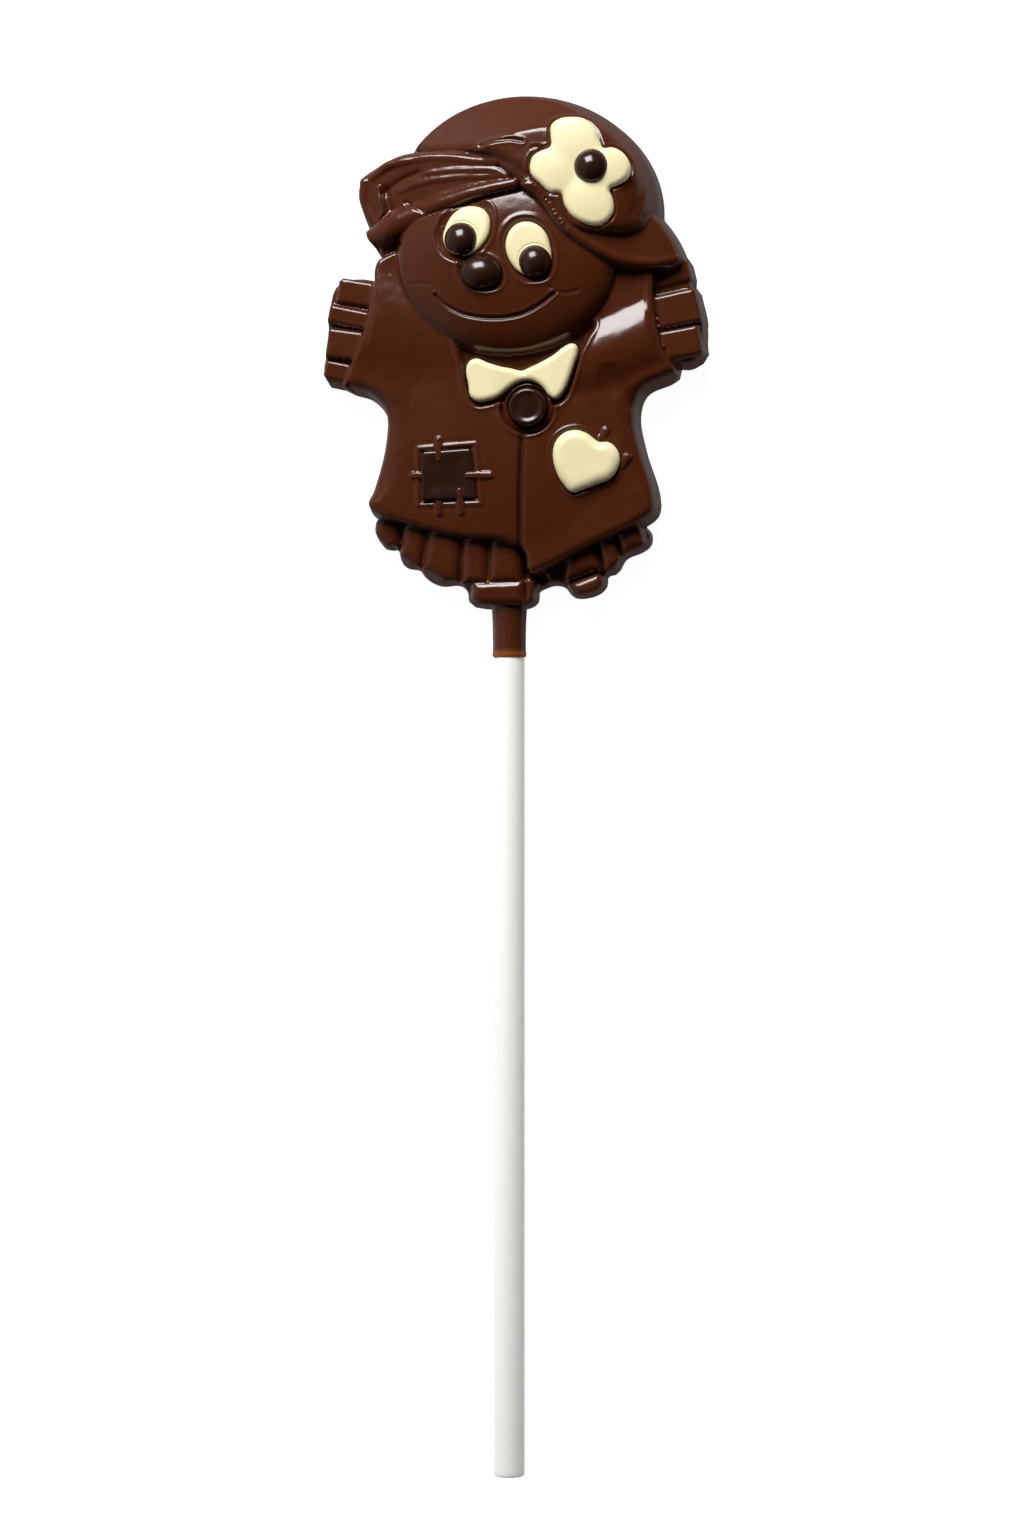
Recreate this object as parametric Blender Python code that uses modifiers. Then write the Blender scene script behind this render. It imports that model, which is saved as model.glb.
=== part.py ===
"""Scarecrow lollipop: a moulded milk chocolate figure with white and dark chocolate inlays, on a round paper stick.

The figure is cast in an open mould, so its back is flat and lies on z = 0, its walls lean in by the
mould's draft, and all the relief is on the front, towards +Z. +Y runs towards the hat and -Y down the
stick. The origin is on the flat back, over the stick's axis and behind the middle of the figure.
Outlines and paths are written in millimetres and turned into metres where a shape is made.
"""

import math

import bmesh
import bpy
from mathutils import Matrix

MM = 0.001

# Driving dimensions, in millimetres.
STICK_DIAMETER = 4.5
STICK_LENGTH = 150.0
STICK_END = -165.7
STICK_AXIS_HEIGHT = 2.7
STICK_EDGE = 0.25
STICK_CLEARANCE = 0.05
SLEEVE_DIAMETERS = (4.9, 5.28)
SLEEVE_ENDS = (-45.0, -36.0)
SLEEVE_BURIED = 5.0
GAP = 0.3
WELD = 0.000002
DRAFT = math.tan(math.radians(6.0))
BELOW_BACK = 1.5
LEVEL = (0.0, 0.0)

COAT_TOP = 8.2
COAT_EDGE = 1.0
CHEST_TOP = 9.1
FRINGE_PLATE_TOP = 3.2
FACE_TOP = 12.2
HAND_PLATE_TOP = 5.4
HAIR_TOP = 8.6
HAIR_LOCK_TOP = 7.0
HAIR_EDGE = 0.3
PLATE_EDGE = 0.5
BLOCK_EDGE = 0.9
BRIM_EDGE = 0.6
BRIM_TOP = 9.5
BRIM_SLOPE = (-0.2, 0.05)
BACK_BRIM_TOP = 8.0
BACK_BRIM_SLOPE = (0.17, 0.0)
CUTTER_TOP = 20.0
CROWN_TOP = 13.0

# Rounded domes: centre, half axes, height of the rim, height of the top, and the two exponents of
# the curve top = rim + rise * (1 - r ** flat) ** (1 / steep), where r runs from 0 to 1 at the rim.
FACE = dict(centre=(0.2, 11.3), radii=(16.3, 12.3), rim=7.6, top=FACE_TOP, flat=2.6, steep=2.2)
CROWN = dict(centre=(2.6, 20.2), radii=(20.0, 17.0), rim=3.5, top=CROWN_TOP, flat=2.2, steep=2.0)
CHEST = dict(centre=(0.5, -12.5), radii=(15.5, 17.0), rim=7.6, top=CHEST_TOP, flat=2.0, steep=2.0)
LEFT_ARM = dict(centre=(-15.5, 1.5), radii=(7.0, 7.0), rim=7.4, top=8.9, flat=2.0, steep=2.0)
RIGHT_ARM = dict(centre=(15.8, 2.6), radii=(6.5, 7.4), rim=7.4, top=9.2, flat=2.0, steep=2.0)

COAT_OUTLINE = [
    (-19.0, 13.9), (-20.0, 12.3), (-20.2, 8.7), (-21.7, 2.3), (-24.5, -3.8), (-24.6, -5.0), (-23.6, -5.8),
    (-20.5, -6.9), (-18.5, -9.2), (-18.4, -13.0), (-20.2, -20.3), (-21.1, -22.6), (-20.2, -24.2),
    (-14.9, -26.3), (-6.8, -28.3), (0.8, -29.4), (2.1, -30.4), (2.4, -32.6), (3.6, -33.6), (5.7, -33.0),
    (12.3, -29.7), (19.5, -26.2), (21.9, -24.4), (22.3, -22.4), (20.1, -14.5), (19.3, -9.6), (20.3, -6.6),
    (24.4, -4.6), (25.4, -3.6), (25.0, -2.2), (23.2, 0.4), (22.2, 4.9), (22.2, 10.7), (20.5, 13.9),
]
HAT_OUTLINE = [
    (-13.8, 29.4), (-9.2, 28.6), (-4.6, 28.1), (1.0, 25.4), (5.2, 21.8), (9.0, 17.4), (14.2, 13.4),
    (20.0, 11.6), (26.0, 13.0), (27.0, 25.0), (16.0, 39.0), (-8.0, 40.0), (-20.0, 34.0),
]
BRIM_OUTLINE = [
    (2.6, 22.4), (4.7, 20.0), (7.4, 16.9), (10.2, 14.9), (14.0, 12.7), (18.2, 11.0), (22.0, 10.6),
    (25.2, 11.0), (26.3, 12.5), (25.8, 14.6), (24.4, 17.2), (22.2, 19.8), (17.0, 22.5), (9.0, 24.5),
    (4.0, 24.5),
]
BACK_BRIM_OUTLINE = [
    (-3.5, 29.0), (-9.0, 29.6), (-15.4, 29.2), (-20.0, 27.1), (-21.9, 25.6), (-22.3, 23.6), (-21.4, 20.5),
    (-20.9, 17.8), (-20.2, 15.8), (-18.5, 14.7), (-15.8, 14.9), (-13.2, 17.1), (-9.6, 20.0), (-4.0, 22.0),
    (2.0, 22.8), (2.4, 25.0),
]
# A path's points are x, y, height of the axis, and radius.
BRIM_LIP = [
    (-4.0, 27.9, 11.4, 0.7), (-1.6, 26.4, 11.4, 1.1), (1.9, 24.2, 10.9, 1.9), (5.2, 21.6, 10.7, 2.1),
    (8.4, 18.2, 10.5, 2.1), (11.9, 15.7, 10.0, 2.1), (15.7, 13.7, 9.4, 2.0), (20.0, 12.6, 8.5, 1.8),
    (24.0, 12.8, 7.7, 1.5), (25.2, 13.2, 7.4, 0.8),
]
BACK_BRIM_RIM = [
    (-3.0, 28.0, 10.6, 0.6), (-6.5, 28.2, 9.6, 0.9), (-10.5, 28.4, 8.6, 1.0), (-14.5, 28.0, 7.9, 1.1),
    (-18.2, 26.6, 7.5, 1.2), (-20.6, 25.0, 7.3, 1.3), (-20.9, 23.0, 7.2, 1.3), (-20.2, 20.6, 7.2, 1.2),
    (-19.6, 18.8, 7.4, 0.8),
]
BRIM_FOLDS = [
    [(-17.6, 22.4, 7.9, 0.9), (-13.7, 23.7, 8.7, 1.0), (-9.6, 24.5, 9.4, 1.0), (-4.9, 24.9, 10.3, 0.9),
     (-0.8, 25.0, 11.3, 0.6)],
    [(-16.6, 20.9, 7.8, 0.9), (-12.2, 22.4, 8.7, 0.9), (-9.4, 23.2, 9.5, 0.8), (-5.8, 23.8, 10.4, 0.7),
     (-0.9, 24.1, 11.4, 0.5)],
]
BRIM_ROLL = [
    (-20.0, 16.8, 7.0, 1.0), (-18.4, 17.0, 7.4, 1.9), (-15.5, 18.0, 8.0, 2.1), (-12.8, 19.4, 8.5, 1.8),
    (-9.2, 20.8, 9.4, 1.5), (-5.0, 22.3, 10.4, 1.2), (-1.0, 23.1, 11.2, 1.0), (2.0, 23.7, 11.4, 0.8),
]
HAIR_LOCK = [(-19.0, 16.0), (-18.9, 13.0), (-17.6, 11.8), (-15.6, 12.2), (-14.8, 14.0), (-15.2, 16.2)]
LEFT_EAR_HAIR = [(-18.4, 12.6), (-15.0, 12.6), (-14.0, 9.0), (-15.6, 7.0), (-18.0, 9.4)]
RIGHT_EAR_HAIR = [(13.0, 12.0), (18.6, 12.6), (19.4, 10.8), (17.4, 8.0), (15.2, 6.4), (13.4, 7.6)]
LEFT_CUFF = [(-23.6, -5.0, 7.5, 0.5), (-20.9, 0.9, 7.7, 0.75), (-19.7, 5.0, 7.8, 0.8), (-19.4, 9.0, 7.6, 0.8)]
RIGHT_CUFF = [
    (24.2, -3.4, 7.4, 0.5), (22.9, -1.2, 7.6, 0.75), (21.8, 2.2, 7.8, 0.8), (21.3, 6.0, 7.8, 0.8),
    (21.4, 10.0, 7.6, 0.8),
]
COLLAR_LIP = [(-15.2, 6.4, 8.2, 0.3), (-13.2, 3.3, 8.2, 0.45), (-11.0, 1.6, 8.2, 0.45), (-7.6, -0.1, 8.2, 0.3)]

# A finger or a lobe of the fringe is a rounded block: centre, length, width, turn in degrees, top.
LEFT_FINGERS = [
    ((-22.3, 8.2), 7.4, 4.5, -9.0, 6.6), ((-23.6, 4.9), 7.8, 4.1, -12.0, 7.0),
    ((-23.9, 0.8), 7.6, 5.8, -8.0, 7.2), ((-25.0, -3.3), 6.6, 4.6, -12.0, 6.6),
]
RIGHT_FINGERS = [
    ((23.9, 10.6), 7.8, 4.6, 14.0, 6.4), ((25.2, 5.5), 8.0, 6.3, 12.0, 7.0), ((25.8, 0.4), 7.6, 5.9, 10.0, 7.2),
]
FRINGE_LOBES = [
    ((-17.7, -27.0), 4.9, 6.6, -20.0, 5.4), ((-13.9, -29.0), 4.7, 7.6, -17.0, 5.6),
    ((-9.6, -30.4), 5.6, 8.4, -12.0, 5.9), ((-5.1, -30.2), 4.9, 7.6, -3.0, 5.8),
    ((-0.6, -30.6), 5.2, 7.4, 3.0, 5.8), ((7.0, -32.3), 3.2, 5.6, 20.0, 5.0),
    ((10.6, -30.8), 5.6, 6.4, 22.0, 5.5), ((15.0, -29.5), 4.9, 7.2, 22.0, 5.5),
    ((18.8, -27.4), 5.2, 6.2, 24.0, 5.4),
]
BOOT = ((11.3, -34.2), 7.2, 4.9, 8.0, 5.6)
COLLAR_LOBES = [((-1.2, -35.2), 8.6, 6.2, 0.0, 6.2), ((2.8, -34.8), 3.6, 5.4, 8.0, 5.4)]
HAND_PLATES = [
    [(-25.6, 9.4), (-27.0, 5.7), (-27.1, 0.8), (-27.6, -3.4), (-24.5, -5.0), (-20.0, -1.0), (-18.0, 9.6)],
    [(22.0, 12.6), (26.2, 12.3), (27.3, 9.5), (28.9, 5.6), (29.1, 0.4), (28.6, -1.6), (26.0, -2.8), (21.5, 0.0)],
]
FRINGE_PLATE = [
    (-19.6, -24.0), (-19.9, -27.4), (-17.4, -29.5), (-14.9, -31.8), (-11.4, -34.2), (-7.4, -34.7),
    (-6.0, -36.4), (-4.2, -37.8), (-0.8, -37.9), (2.6, -37.8), (4.4, -36.4), (5.9, -34.9), (8.4, -35.0),
    (10.4, -36.3), (13.2, -35.7), (14.8, -33.2), (17.2, -31.2), (20.4, -28.9), (20.6, -25.4), (0.0, -22.0),
]

FLOWER_BALL = ((13.1, 25.4), 2.45, 14.6)
PETALS = [((10.6, 29.0), 3.7), ((15.5, 25.3), 3.15), ((12.4, 20.5), 3.75), ((7.3, 24.9), 3.4)]
FLOWER_HUB = ((11.0, 25.0), 4.2)
PUPILS = {"pupil_left": ((-5.95, 15.15), 2.3, 13.8), "pupil_right": ((4.9, 11.95), 2.25, 13.9)}
EYE_WHITES = {
    "eye_white_left": [(-8.5, 16.8), (-7.8, 18.6), (-6.0, 19.9), (-3.8, 20.1), (-2.2, 18.9), (-1.8, 17.2),
                       (-2.4, 15.2), (-4.0, 14.2), (-6.6, 14.8)],
    "eye_white_right": [(0.4, 14.5), (1.1, 16.6), (2.9, 17.8), (5.0, 17.4), (6.5, 15.8), (6.9, 13.8),
                        (5.6, 11.6), (3.4, 10.2), (1.8, 10.8), (0.6, 12.4)],
}
EYE_SLOPES = {"eye_white_left": (0.08, -0.12), "eye_white_right": (-0.05, -0.06)}
NOSE = ((-2.95, 10.5), (2.75, 2.3), 14.0)
MOUTH = [(-9.9, 7.4), (-8.4, 5.9), (-5.6, 4.5), (-1.2, 3.9), (2.6, 4.4), (5.4, 5.8), (7.5, 7.4)]
SOCKET_DEPTH = 0.35
SOCKET_RIM = 0.85
MOUTH_RADIUS = 0.45

BOW_OUTLINE = [
    (-5.7, -2.8), (-4.4, -1.7), (-1.6, -2.4), (2.4, -3.3), (5.3, -2.2), (9.2, 0.3), (10.4, 0.1), (10.6, -1.0),
    (9.1, -5.6), (7.6, -7.6), (6.6, -7.3), (5.0, -5.5), (3.2, -4.8), (1.4, -5.3), (-0.8, -7.2), (-3.4, -7.9),
    (-5.0, -7.2), (-5.5, -5.6),
]
NECK_OPENING = [
    (-7.0, 0.4), (-6.5, -2.2), (-5.9, -5.8), (-5.2, -7.8), (-3.4, -8.7), (-0.8, -8.2), (3.3, -9.6),
    (6.2, -8.3), (7.6, -8.5), (9.1, -7.1), (10.5, -3.4), (12.1, 1.2), (3.0, 3.0),
]
NECK_FLOOR = 7.2
BOW_TOP = 9.2
BUTTON = ((3.3, -8.8), 2.9, 9.9)
BUTTON_RECESS_RADIUS = 3.9
HEART_OUTLINE = [
    (9.8, -21.3), (8.0, -19.3), (7.0, -16.2), (7.6, -13.6), (9.8, -12.3), (12.2, -12.8), (13.6, -13.9),
    (15.2, -14.0), (16.7, -15.5), (16.4, -18.0), (14.6, -19.9), (12.0, -20.8),
]
HEART_TOP = 9.9
PATCH_OUTLINE = [(-12.7, -14.6), (-4.5, -14.1), (-3.8, -22.1), (-12.5, -22.3)]
PATCH_TOP = 8.5
INLAY_FLOOR = 6.6
STITCHES = [
    ((-9.8, -13.0), (-9.8, -14.2)), ((-14.0, -18.5), (-12.9, -18.6)), ((-3.5, -18.6), (-2.3, -18.7)),
    ((-9.7, -22.6), (-9.8, -24.2)), ((-6.6, -22.6), (-6.5, -24.2)), ((14.1, -13.3), (14.8, -12.1)),
    ((17.2, -17.0), (17.8, -15.9)),
]
SEAM = [(2.6, -12.4), (2.3, -18.0), (2.2, -24.0), (2.1, -29.6)]
HAT_BAND = [(-3.3, 28.6), (-1.2, 29.2), (1.2, 29.3), (3.2, 28.9), (5.0, 28.2)]

EYE_RISE = 0.8
EYE_EDGE = 0.4
BOW_EDGE = 0.5
HEART_EDGE = 0.9
PATCH_EDGE = 0.3
SHARP = 0.1
GROUND = (160.0, 100.0, 10.0)
FACE_INLAY_FLOOR = 9.3
FLOWER_FLOOR = 7.4
BALL_FLOOR = 9.6
PETAL_RISE = 0.9
PETAL_BULGE = 1.1
BOW_FLOOR = 5.8
BALL_BULGE = 0.85
BUTTON_BULGE = 0.9
BEAD_RINGS = 4
STITCH_RADIUS = 0.35
SEAM_RADIUS = 0.35
HAT_BAND_RADIUS = 0.3
HAT_BAND_HEIGHT = 12.6

# Names of the chocolates and of the paper, each with its linear colour and its roughness.
MATERIALS = {
    "milk_chocolate": ((0.080, 0.023, 0.010), 0.32),
    "white_chocolate": ((0.871, 0.791, 0.510), 0.35),
    "dark_chocolate": ((0.026, 0.010, 0.006), 0.28),
    "paper": ((0.880, 0.860, 0.830), 0.75),
}

TURN_STEPS = 24
CURVE_PIECES = 2
ROLL_PIECES = 2
DOME_RINGS = 8
DOME_STEPS = 40
LOW_RINGS = 4
LOW_STEPS = 28


def clear_scene():
    for item in list(bpy.data.objects):
        bpy.data.objects.remove(item, do_unlink=True)


def add_collection(name):
    collection = bpy.data.collections.new(name)
    bpy.context.scene.collection.children.link(collection)
    return collection


def add_material(name, colour, roughness):
    material = bpy.data.materials.new(name)
    material.use_nodes = True
    shader = material.node_tree.nodes["Principled BSDF"]
    shader.inputs["Base Color"].default_value = (*colour, 1.0)
    shader.inputs["Roughness"].default_value = roughness
    shader.inputs["Metallic"].default_value = 0.0
    return material


def add_object(name, data, group):
    item = bpy.data.objects.new(name, data)
    group.objects.link(item)
    return item


def bake(item, weld=True):
    """Turn an object with modifiers into a plain mesh, welded and with its faces outwards."""
    bpy.context.view_layer.update()
    graph = bpy.context.evaluated_depsgraph_get()
    mesh = bpy.data.meshes.new_from_object(item.evaluated_get(graph))
    if weld:
        bm = bmesh.new()
        bm.from_mesh(mesh)
        bmesh.ops.remove_doubles(bm, verts=bm.verts, dist=WELD)
        bmesh.ops.recalc_face_normals(bm, faces=bm.faces)
        bm.to_mesh(mesh)
        bm.free()
    if item.type == "MESH":
        item.modifiers.clear()
        item.data = mesh
        return item
    name, place, group = item.name, item.matrix_world.copy(), item.users_collection[0]
    bpy.data.objects.remove(item, do_unlink=True)
    solid = add_object(name, mesh, group)
    solid.matrix_world = place
    return solid


def keep_outer_skin(item):
    """Keep the largest connected surface: sealed hollows are filled, and loose scraps are dropped."""
    bm = bmesh.new()
    bm.from_mesh(item.data)
    unseen = set(bm.verts)
    skins = []
    while unseen:
        front = [unseen.pop()]
        skin = set(front)
        while front:
            vert = front.pop()
            near = {edge.other_vert(vert) for edge in vert.link_edges} & unseen
            unseen -= near
            skin |= near
            front.extend(near)
        skins.append(skin)
    outer = max(skins, key=len)
    bmesh.ops.delete(bm, geom=[vert for vert in bm.verts if vert not in outer], context="VERTS")
    bm.to_mesh(item.data)
    bm.free()


def middle_of(outline):
    return tuple(sum(point[axis] for point in outline) / len(outline) for axis in (0, 1))


def slab(name, outline, top, edge, group, grow=0.0, base=-BELOW_BACK, slope=LEVEL, draft=DRAFT, corner="AUTO"):
    """A flat outline raised to a rounded top. Its walls lean in by the draft, and its top can slope."""
    centre = middle_of(outline)
    curve = bpy.data.curves.new(name, "CURVE")
    curve.dimensions = "2D"
    curve.fill_mode = "BOTH"
    curve.resolution_u = CURVE_PIECES
    curve.bevel_depth = edge * MM
    curve.bevel_resolution = 1
    curve.extrude = ((top - base) / 2 - edge) * MM
    curve.offset = (grow - edge) * MM
    spline = curve.splines.new("BEZIER")
    spline.bezier_points.add(len(outline) - 1)
    for point, (x, y) in zip(spline.bezier_points, outline):
        point.co = ((x - centre[0]) * MM, (y - centre[1]) * MM, 0.0)
        point.handle_left_type = corner
        point.handle_right_type = corner
    spline.use_cyclic_u = True
    solid = bake(add_object(name, curve, group))
    bm = bmesh.new()
    bm.from_mesh(solid.data)
    lift = (top + base) / 2 * MM
    reach = sum(vert.co.xy.length for vert in bm.verts) / len(bm.verts)
    for vert in bm.verts:
        vert.co.z += lift
        vert.co.xy *= 1 - draft * max(vert.co.z, 0.0) / reach
        rise = (slope[0] * vert.co.x + slope[1] * vert.co.y) / (top * MM)
        vert.co.z += rise * max(vert.co.z, 0.0)
    bm.to_mesh(solid.data)
    bm.free()
    solid.location = (centre[0] * MM, centre[1] * MM, 0.0)
    return solid


def turned(name, profile, group, centre=(0.0, 0.0), stretch=1.0, steps=TURN_STEPS):
    """A profile of (radius, height) points turned about the vertical, then stretched along Y."""
    mesh = bpy.data.meshes.new(name)
    points = [(radius * MM, 0.0, height * MM) for radius, height in profile]
    mesh.from_pydata(points, [(i, i + 1) for i in range(len(points) - 1)], [])
    item = add_object(name, mesh, group)
    screw = item.modifiers.new("turn", "SCREW")
    screw.steps = steps
    screw.render_steps = steps
    screw.use_merge_vertices = True
    screw.merge_threshold = WELD
    solid = bake(item)
    solid.data.transform(Matrix.Diagonal((1.0, stretch, 1.0, 1.0)))
    solid.location = (centre[0] * MM, centre[1] * MM, 0.0)
    return solid


def dome_height(form, share):
    """Height of a dome at a share of the way from its middle (0) to its rim (1)."""
    return form["rim"] + (form["top"] - form["rim"]) * (1 - share ** form["flat"]) ** (1 / form["steep"])


def dome(name, form, group, rings=DOME_RINGS, steps=DOME_STEPS):
    """A rounded dome on a drafted wall. Its rings crowd towards the rim, where the curve is tight."""
    shares = [math.sin(math.pi / 2 * ring / rings) for ring in range(rings)] + [1.0]
    radius = form["radii"][0]
    profile = [(radius * share, dome_height(form, share)) for share in shares]
    foot = radius + (form["rim"] + BELOW_BACK) * DRAFT
    profile += [(foot, -BELOW_BACK), (0.0, -BELOW_BACK)]
    return turned(name, profile, group, form["centre"], form["radii"][1] / radius, steps)


def roll(name, path, group):
    """A round bead along a path of (x, y, height, radius) points."""
    curve = bpy.data.curves.new(name, "CURVE")
    curve.dimensions = "3D"
    curve.bevel_depth = MM
    curve.bevel_resolution = 2
    curve.use_fill_caps = True
    curve.resolution_u = ROLL_PIECES
    spline = curve.splines.new("BEZIER")
    spline.bezier_points.add(len(path) - 1)
    for point, (x, y, height, radius) in zip(spline.bezier_points, path):
        point.co = (x * MM, y * MM, height * MM)
        point.radius = radius
        point.handle_left_type = "AUTO"
        point.handle_right_type = "AUTO"
    return bake(add_object(name, curve, group))


def block(name, shape, group):
    """A finger or lobe: a box with rounded edges that narrows towards its top by the draft."""
    (x, y), length, width, turn, top = shape
    bm = bmesh.new()
    bmesh.ops.create_cube(bm, size=1.0)
    for vert in bm.verts:
        inset = 2 * DRAFT * top if vert.co.z > 0 else 0.0
        vert.co.x *= (length - inset) * MM
        vert.co.y *= (width - inset) * MM
        vert.co.z = (top if vert.co.z > 0 else -BELOW_BACK) * MM
    mesh = bpy.data.meshes.new(name)
    bm.to_mesh(mesh)
    bm.free()
    item = add_object(name, mesh, group)
    item.location = (x * MM, y * MM, 0.0)
    item.rotation_euler.z = math.radians(turn)
    bevel = item.modifiers.new("round", "BEVEL")
    bevel.width = BLOCK_EDGE * MM
    bevel.segments = 2
    bevel.limit_method = "NONE"
    return bake(item)


def share_of(form, x, y):
    """How far a point lies from a dome's middle (0) to its rim (1)."""
    (across, along), (half_width, half_height) = form["centre"], form["radii"]
    return min(math.hypot((x - across) / half_width, (y - along) / half_height), 1.0)


def chest_height(x, y):
    return max(COAT_TOP, dome_height(CHEST, share_of(CHEST, x, y)))


def combine(base, group, operation):
    """Join the group's shapes to the base, or cut them from it, and remove them."""
    boolean = base.modifiers.new("combine", "BOOLEAN")
    boolean.operation = operation
    boolean.operand_type = "COLLECTION"
    boolean.collection = group
    boolean.solver = "MANIFOLD"
    bake(base, weld=False)
    for item in list(group.objects):
        bpy.data.objects.remove(item, do_unlink=True)
    bpy.data.collections.remove(group)


def crown_height(x, y):
    return dome_height(CROWN, share_of(CROWN, x, y))


def face_height(x, y):
    return dome_height(FACE, share_of(FACE, x, y))


def cut_with(base, cutter, operation):
    """Cut one shape by another, and remove the other."""
    boolean = base.modifiers.new("cut", "BOOLEAN")
    boolean.operation = operation
    boolean.object = cutter
    bake(base)
    bpy.data.objects.remove(cutter, do_unlink=True)


def build_hat(forms, spare):
    """The crown cut off along the brim, the brim with its lip, and the folded brim at the left."""
    crown = dome("crown", CROWN, forms)
    hat_area = slab("hat_area", HAT_OUTLINE, CUTTER_TOP, SHARP, spare, base=-2 * BELOW_BACK, draft=0.0)
    cut_with(crown, hat_area, "INTERSECT")
    slab("brim", BRIM_OUTLINE, BRIM_TOP, BRIM_EDGE, forms, slope=BRIM_SLOPE)
    roll("brim_lip", BRIM_LIP, forms)
    slab("back_brim", BACK_BRIM_OUTLINE, BACK_BRIM_TOP, BRIM_EDGE, forms, slope=BACK_BRIM_SLOPE)
    roll("back_brim_rim", BACK_BRIM_RIM, forms)
    for number, fold in enumerate(BRIM_FOLDS, 1):
        roll(f"brim_fold_{number}", fold, forms)
    roll("brim_roll", BRIM_ROLL, forms)
    slab("hair_lock", HAIR_LOCK, HAIR_LOCK_TOP, HAIR_EDGE, forms)


def build_head(forms):
    dome("face", FACE, forms)
    slab("left_ear_hair", LEFT_EAR_HAIR, HAIR_TOP, HAIR_EDGE, forms)
    slab("right_ear_hair", RIGHT_EAR_HAIR, HAIR_TOP, HAIR_EDGE, forms)


def build_coat(forms, spare):
    coat = slab("coat", COAT_OUTLINE, COAT_TOP, COAT_EDGE, forms)
    chest = dome("chest", CHEST, forms, LOW_RINGS, LOW_STEPS)
    for solid in (coat, chest):
        opening = slab("neck_opening", NECK_OPENING, CUTTER_TOP, SHARP, spare, base=NECK_FLOOR, draft=0.0)
        cut_with(solid, opening, "DIFFERENCE")
    dome("left_arm", LEFT_ARM, forms, LOW_RINGS, LOW_STEPS)
    dome("right_arm", RIGHT_ARM, forms, LOW_RINGS, LOW_STEPS)
    roll("left_cuff", LEFT_CUFF, forms)
    roll("right_cuff", RIGHT_CUFF, forms)
    roll("collar_lip", COLLAR_LIP, forms)
    for number, ends in enumerate(STITCHES, 1):
        path = [(x, y, chest_height(x, y), STITCH_RADIUS) for x, y in ends]
        roll(f"stitch_{number}", path, forms)


def build_hands_and_fringe(forms):
    for number, outline in enumerate(HAND_PLATES, 1):
        slab(f"hand_plate_{number}", outline, HAND_PLATE_TOP, PLATE_EDGE, forms)
    for number, shape in enumerate(LEFT_FINGERS + RIGHT_FINGERS, 1):
        block(f"finger_{number}", shape, forms)
    slab("fringe_plate", FRINGE_PLATE, FRINGE_PLATE_TOP, PLATE_EDGE, forms)
    for number, shape in enumerate(FRINGE_LOBES + [BOOT] + COLLAR_LOBES, 1):
        block(f"lobe_{number}", shape, forms)


def build_sleeve(forms):
    """The neck of chocolate round the stick, a slim cone that runs up into the figure."""
    (thin, thick), (foot, head) = SLEEVE_DIAMETERS, SLEEVE_ENDS
    buried = head + SLEEVE_BURIED
    profile = [(0.0, buried), (thick / 2, buried), (thick / 2, head), (thin / 2, foot), (0.0, foot)]
    sleeve = turned("sleeve", profile, forms)
    lay_along_stick(sleeve)


def lay_along_stick(solid):
    """Tip a shape turned about the vertical so that its axis is the stick's."""
    solid.data.transform(Matrix.Rotation(math.radians(-90.0), 4, "X"))
    solid.location = (0.0, 0.0, STICK_AXIS_HEIGHT * MM)


def cut_surface(cutters):
    """Grooves, recesses and the pockets of the inlays."""
    for name, outline in EYE_WHITES.items():
        floor = face_height(*middle_of(outline)) - SOCKET_DEPTH
        slab(name + "_socket", outline, CUTTER_TOP, SHARP, cutters, grow=SOCKET_RIM, base=floor, draft=0.0)
    for name, (centre, radius, _) in PUPILS.items():
        floor = face_height(*centre) - SOCKET_DEPTH
        pocket(name + "_socket", radius + SOCKET_RIM, floor, centre, 1.0, cutters)
    centre, (long, wide), _ = NOSE
    floor = face_height(*centre) - SOCKET_DEPTH
    pocket("nose_socket", long + SOCKET_RIM, floor, centre, wide / long, cutters)
    roll("mouth", [(x, y, face_height(x, y), MOUTH_RADIUS) for x, y in MOUTH], cutters)
    roll("seam", [(x, y, chest_height(x, y), SEAM_RADIUS) for x, y in SEAM], cutters)
    roll("hat_band", [(x, y, HAT_BAND_HEIGHT, HAT_BAND_RADIUS) for x, y in HAT_BAND], cutters)
    pocket("button_recess", BUTTON_RECESS_RADIUS, NECK_FLOOR, BUTTON[0], 1.0, cutters)
    bore = STICK_DIAMETER / 2 + STICK_CLEARANCE
    inner_end = STICK_END + STICK_LENGTH + GAP
    outer_end = SLEEVE_ENDS[0] - BELOW_BACK
    profile = [(0.0, inner_end), (bore, inner_end), (bore, outer_end), (0.0, outer_end)]
    lay_along_stick(turned("stick_bore", profile, cutters))
    bpy.ops.mesh.primitive_cube_add(size=1.0)
    ground = bpy.context.object
    ground.name = "ground"
    long, wide, deep = GROUND
    ground.data.transform(Matrix.Diagonal((wide * MM, long * MM, deep * MM, 1.0)))
    ground.location = (0.0, 0.0, -deep * MM / 2)
    for group in list(ground.users_collection):
        group.objects.unlink(ground)
    cutters.objects.link(ground)


def bead_profile(radius, bulge, top, floor):
    """A rounded cap, bulge high, on a straight wall, as a ball or a petal cast into its pocket shows."""
    arc = [math.pi / 2 * ring / BEAD_RINGS for ring in range(BEAD_RINGS + 1)]
    cap = [(radius * math.sin(angle), top - bulge * (1 - math.cos(angle))) for angle in arc]
    return cap + [(radius, floor), (0.0, floor)]


def pocket(name, radius, floor, centre, stretch, cutters):
    profile = [(0.0, CUTTER_TOP), (radius, CUTTER_TOP), (radius, floor), (0.0, floor)]
    return turned(name, profile, cutters, centre, stretch)


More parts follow.
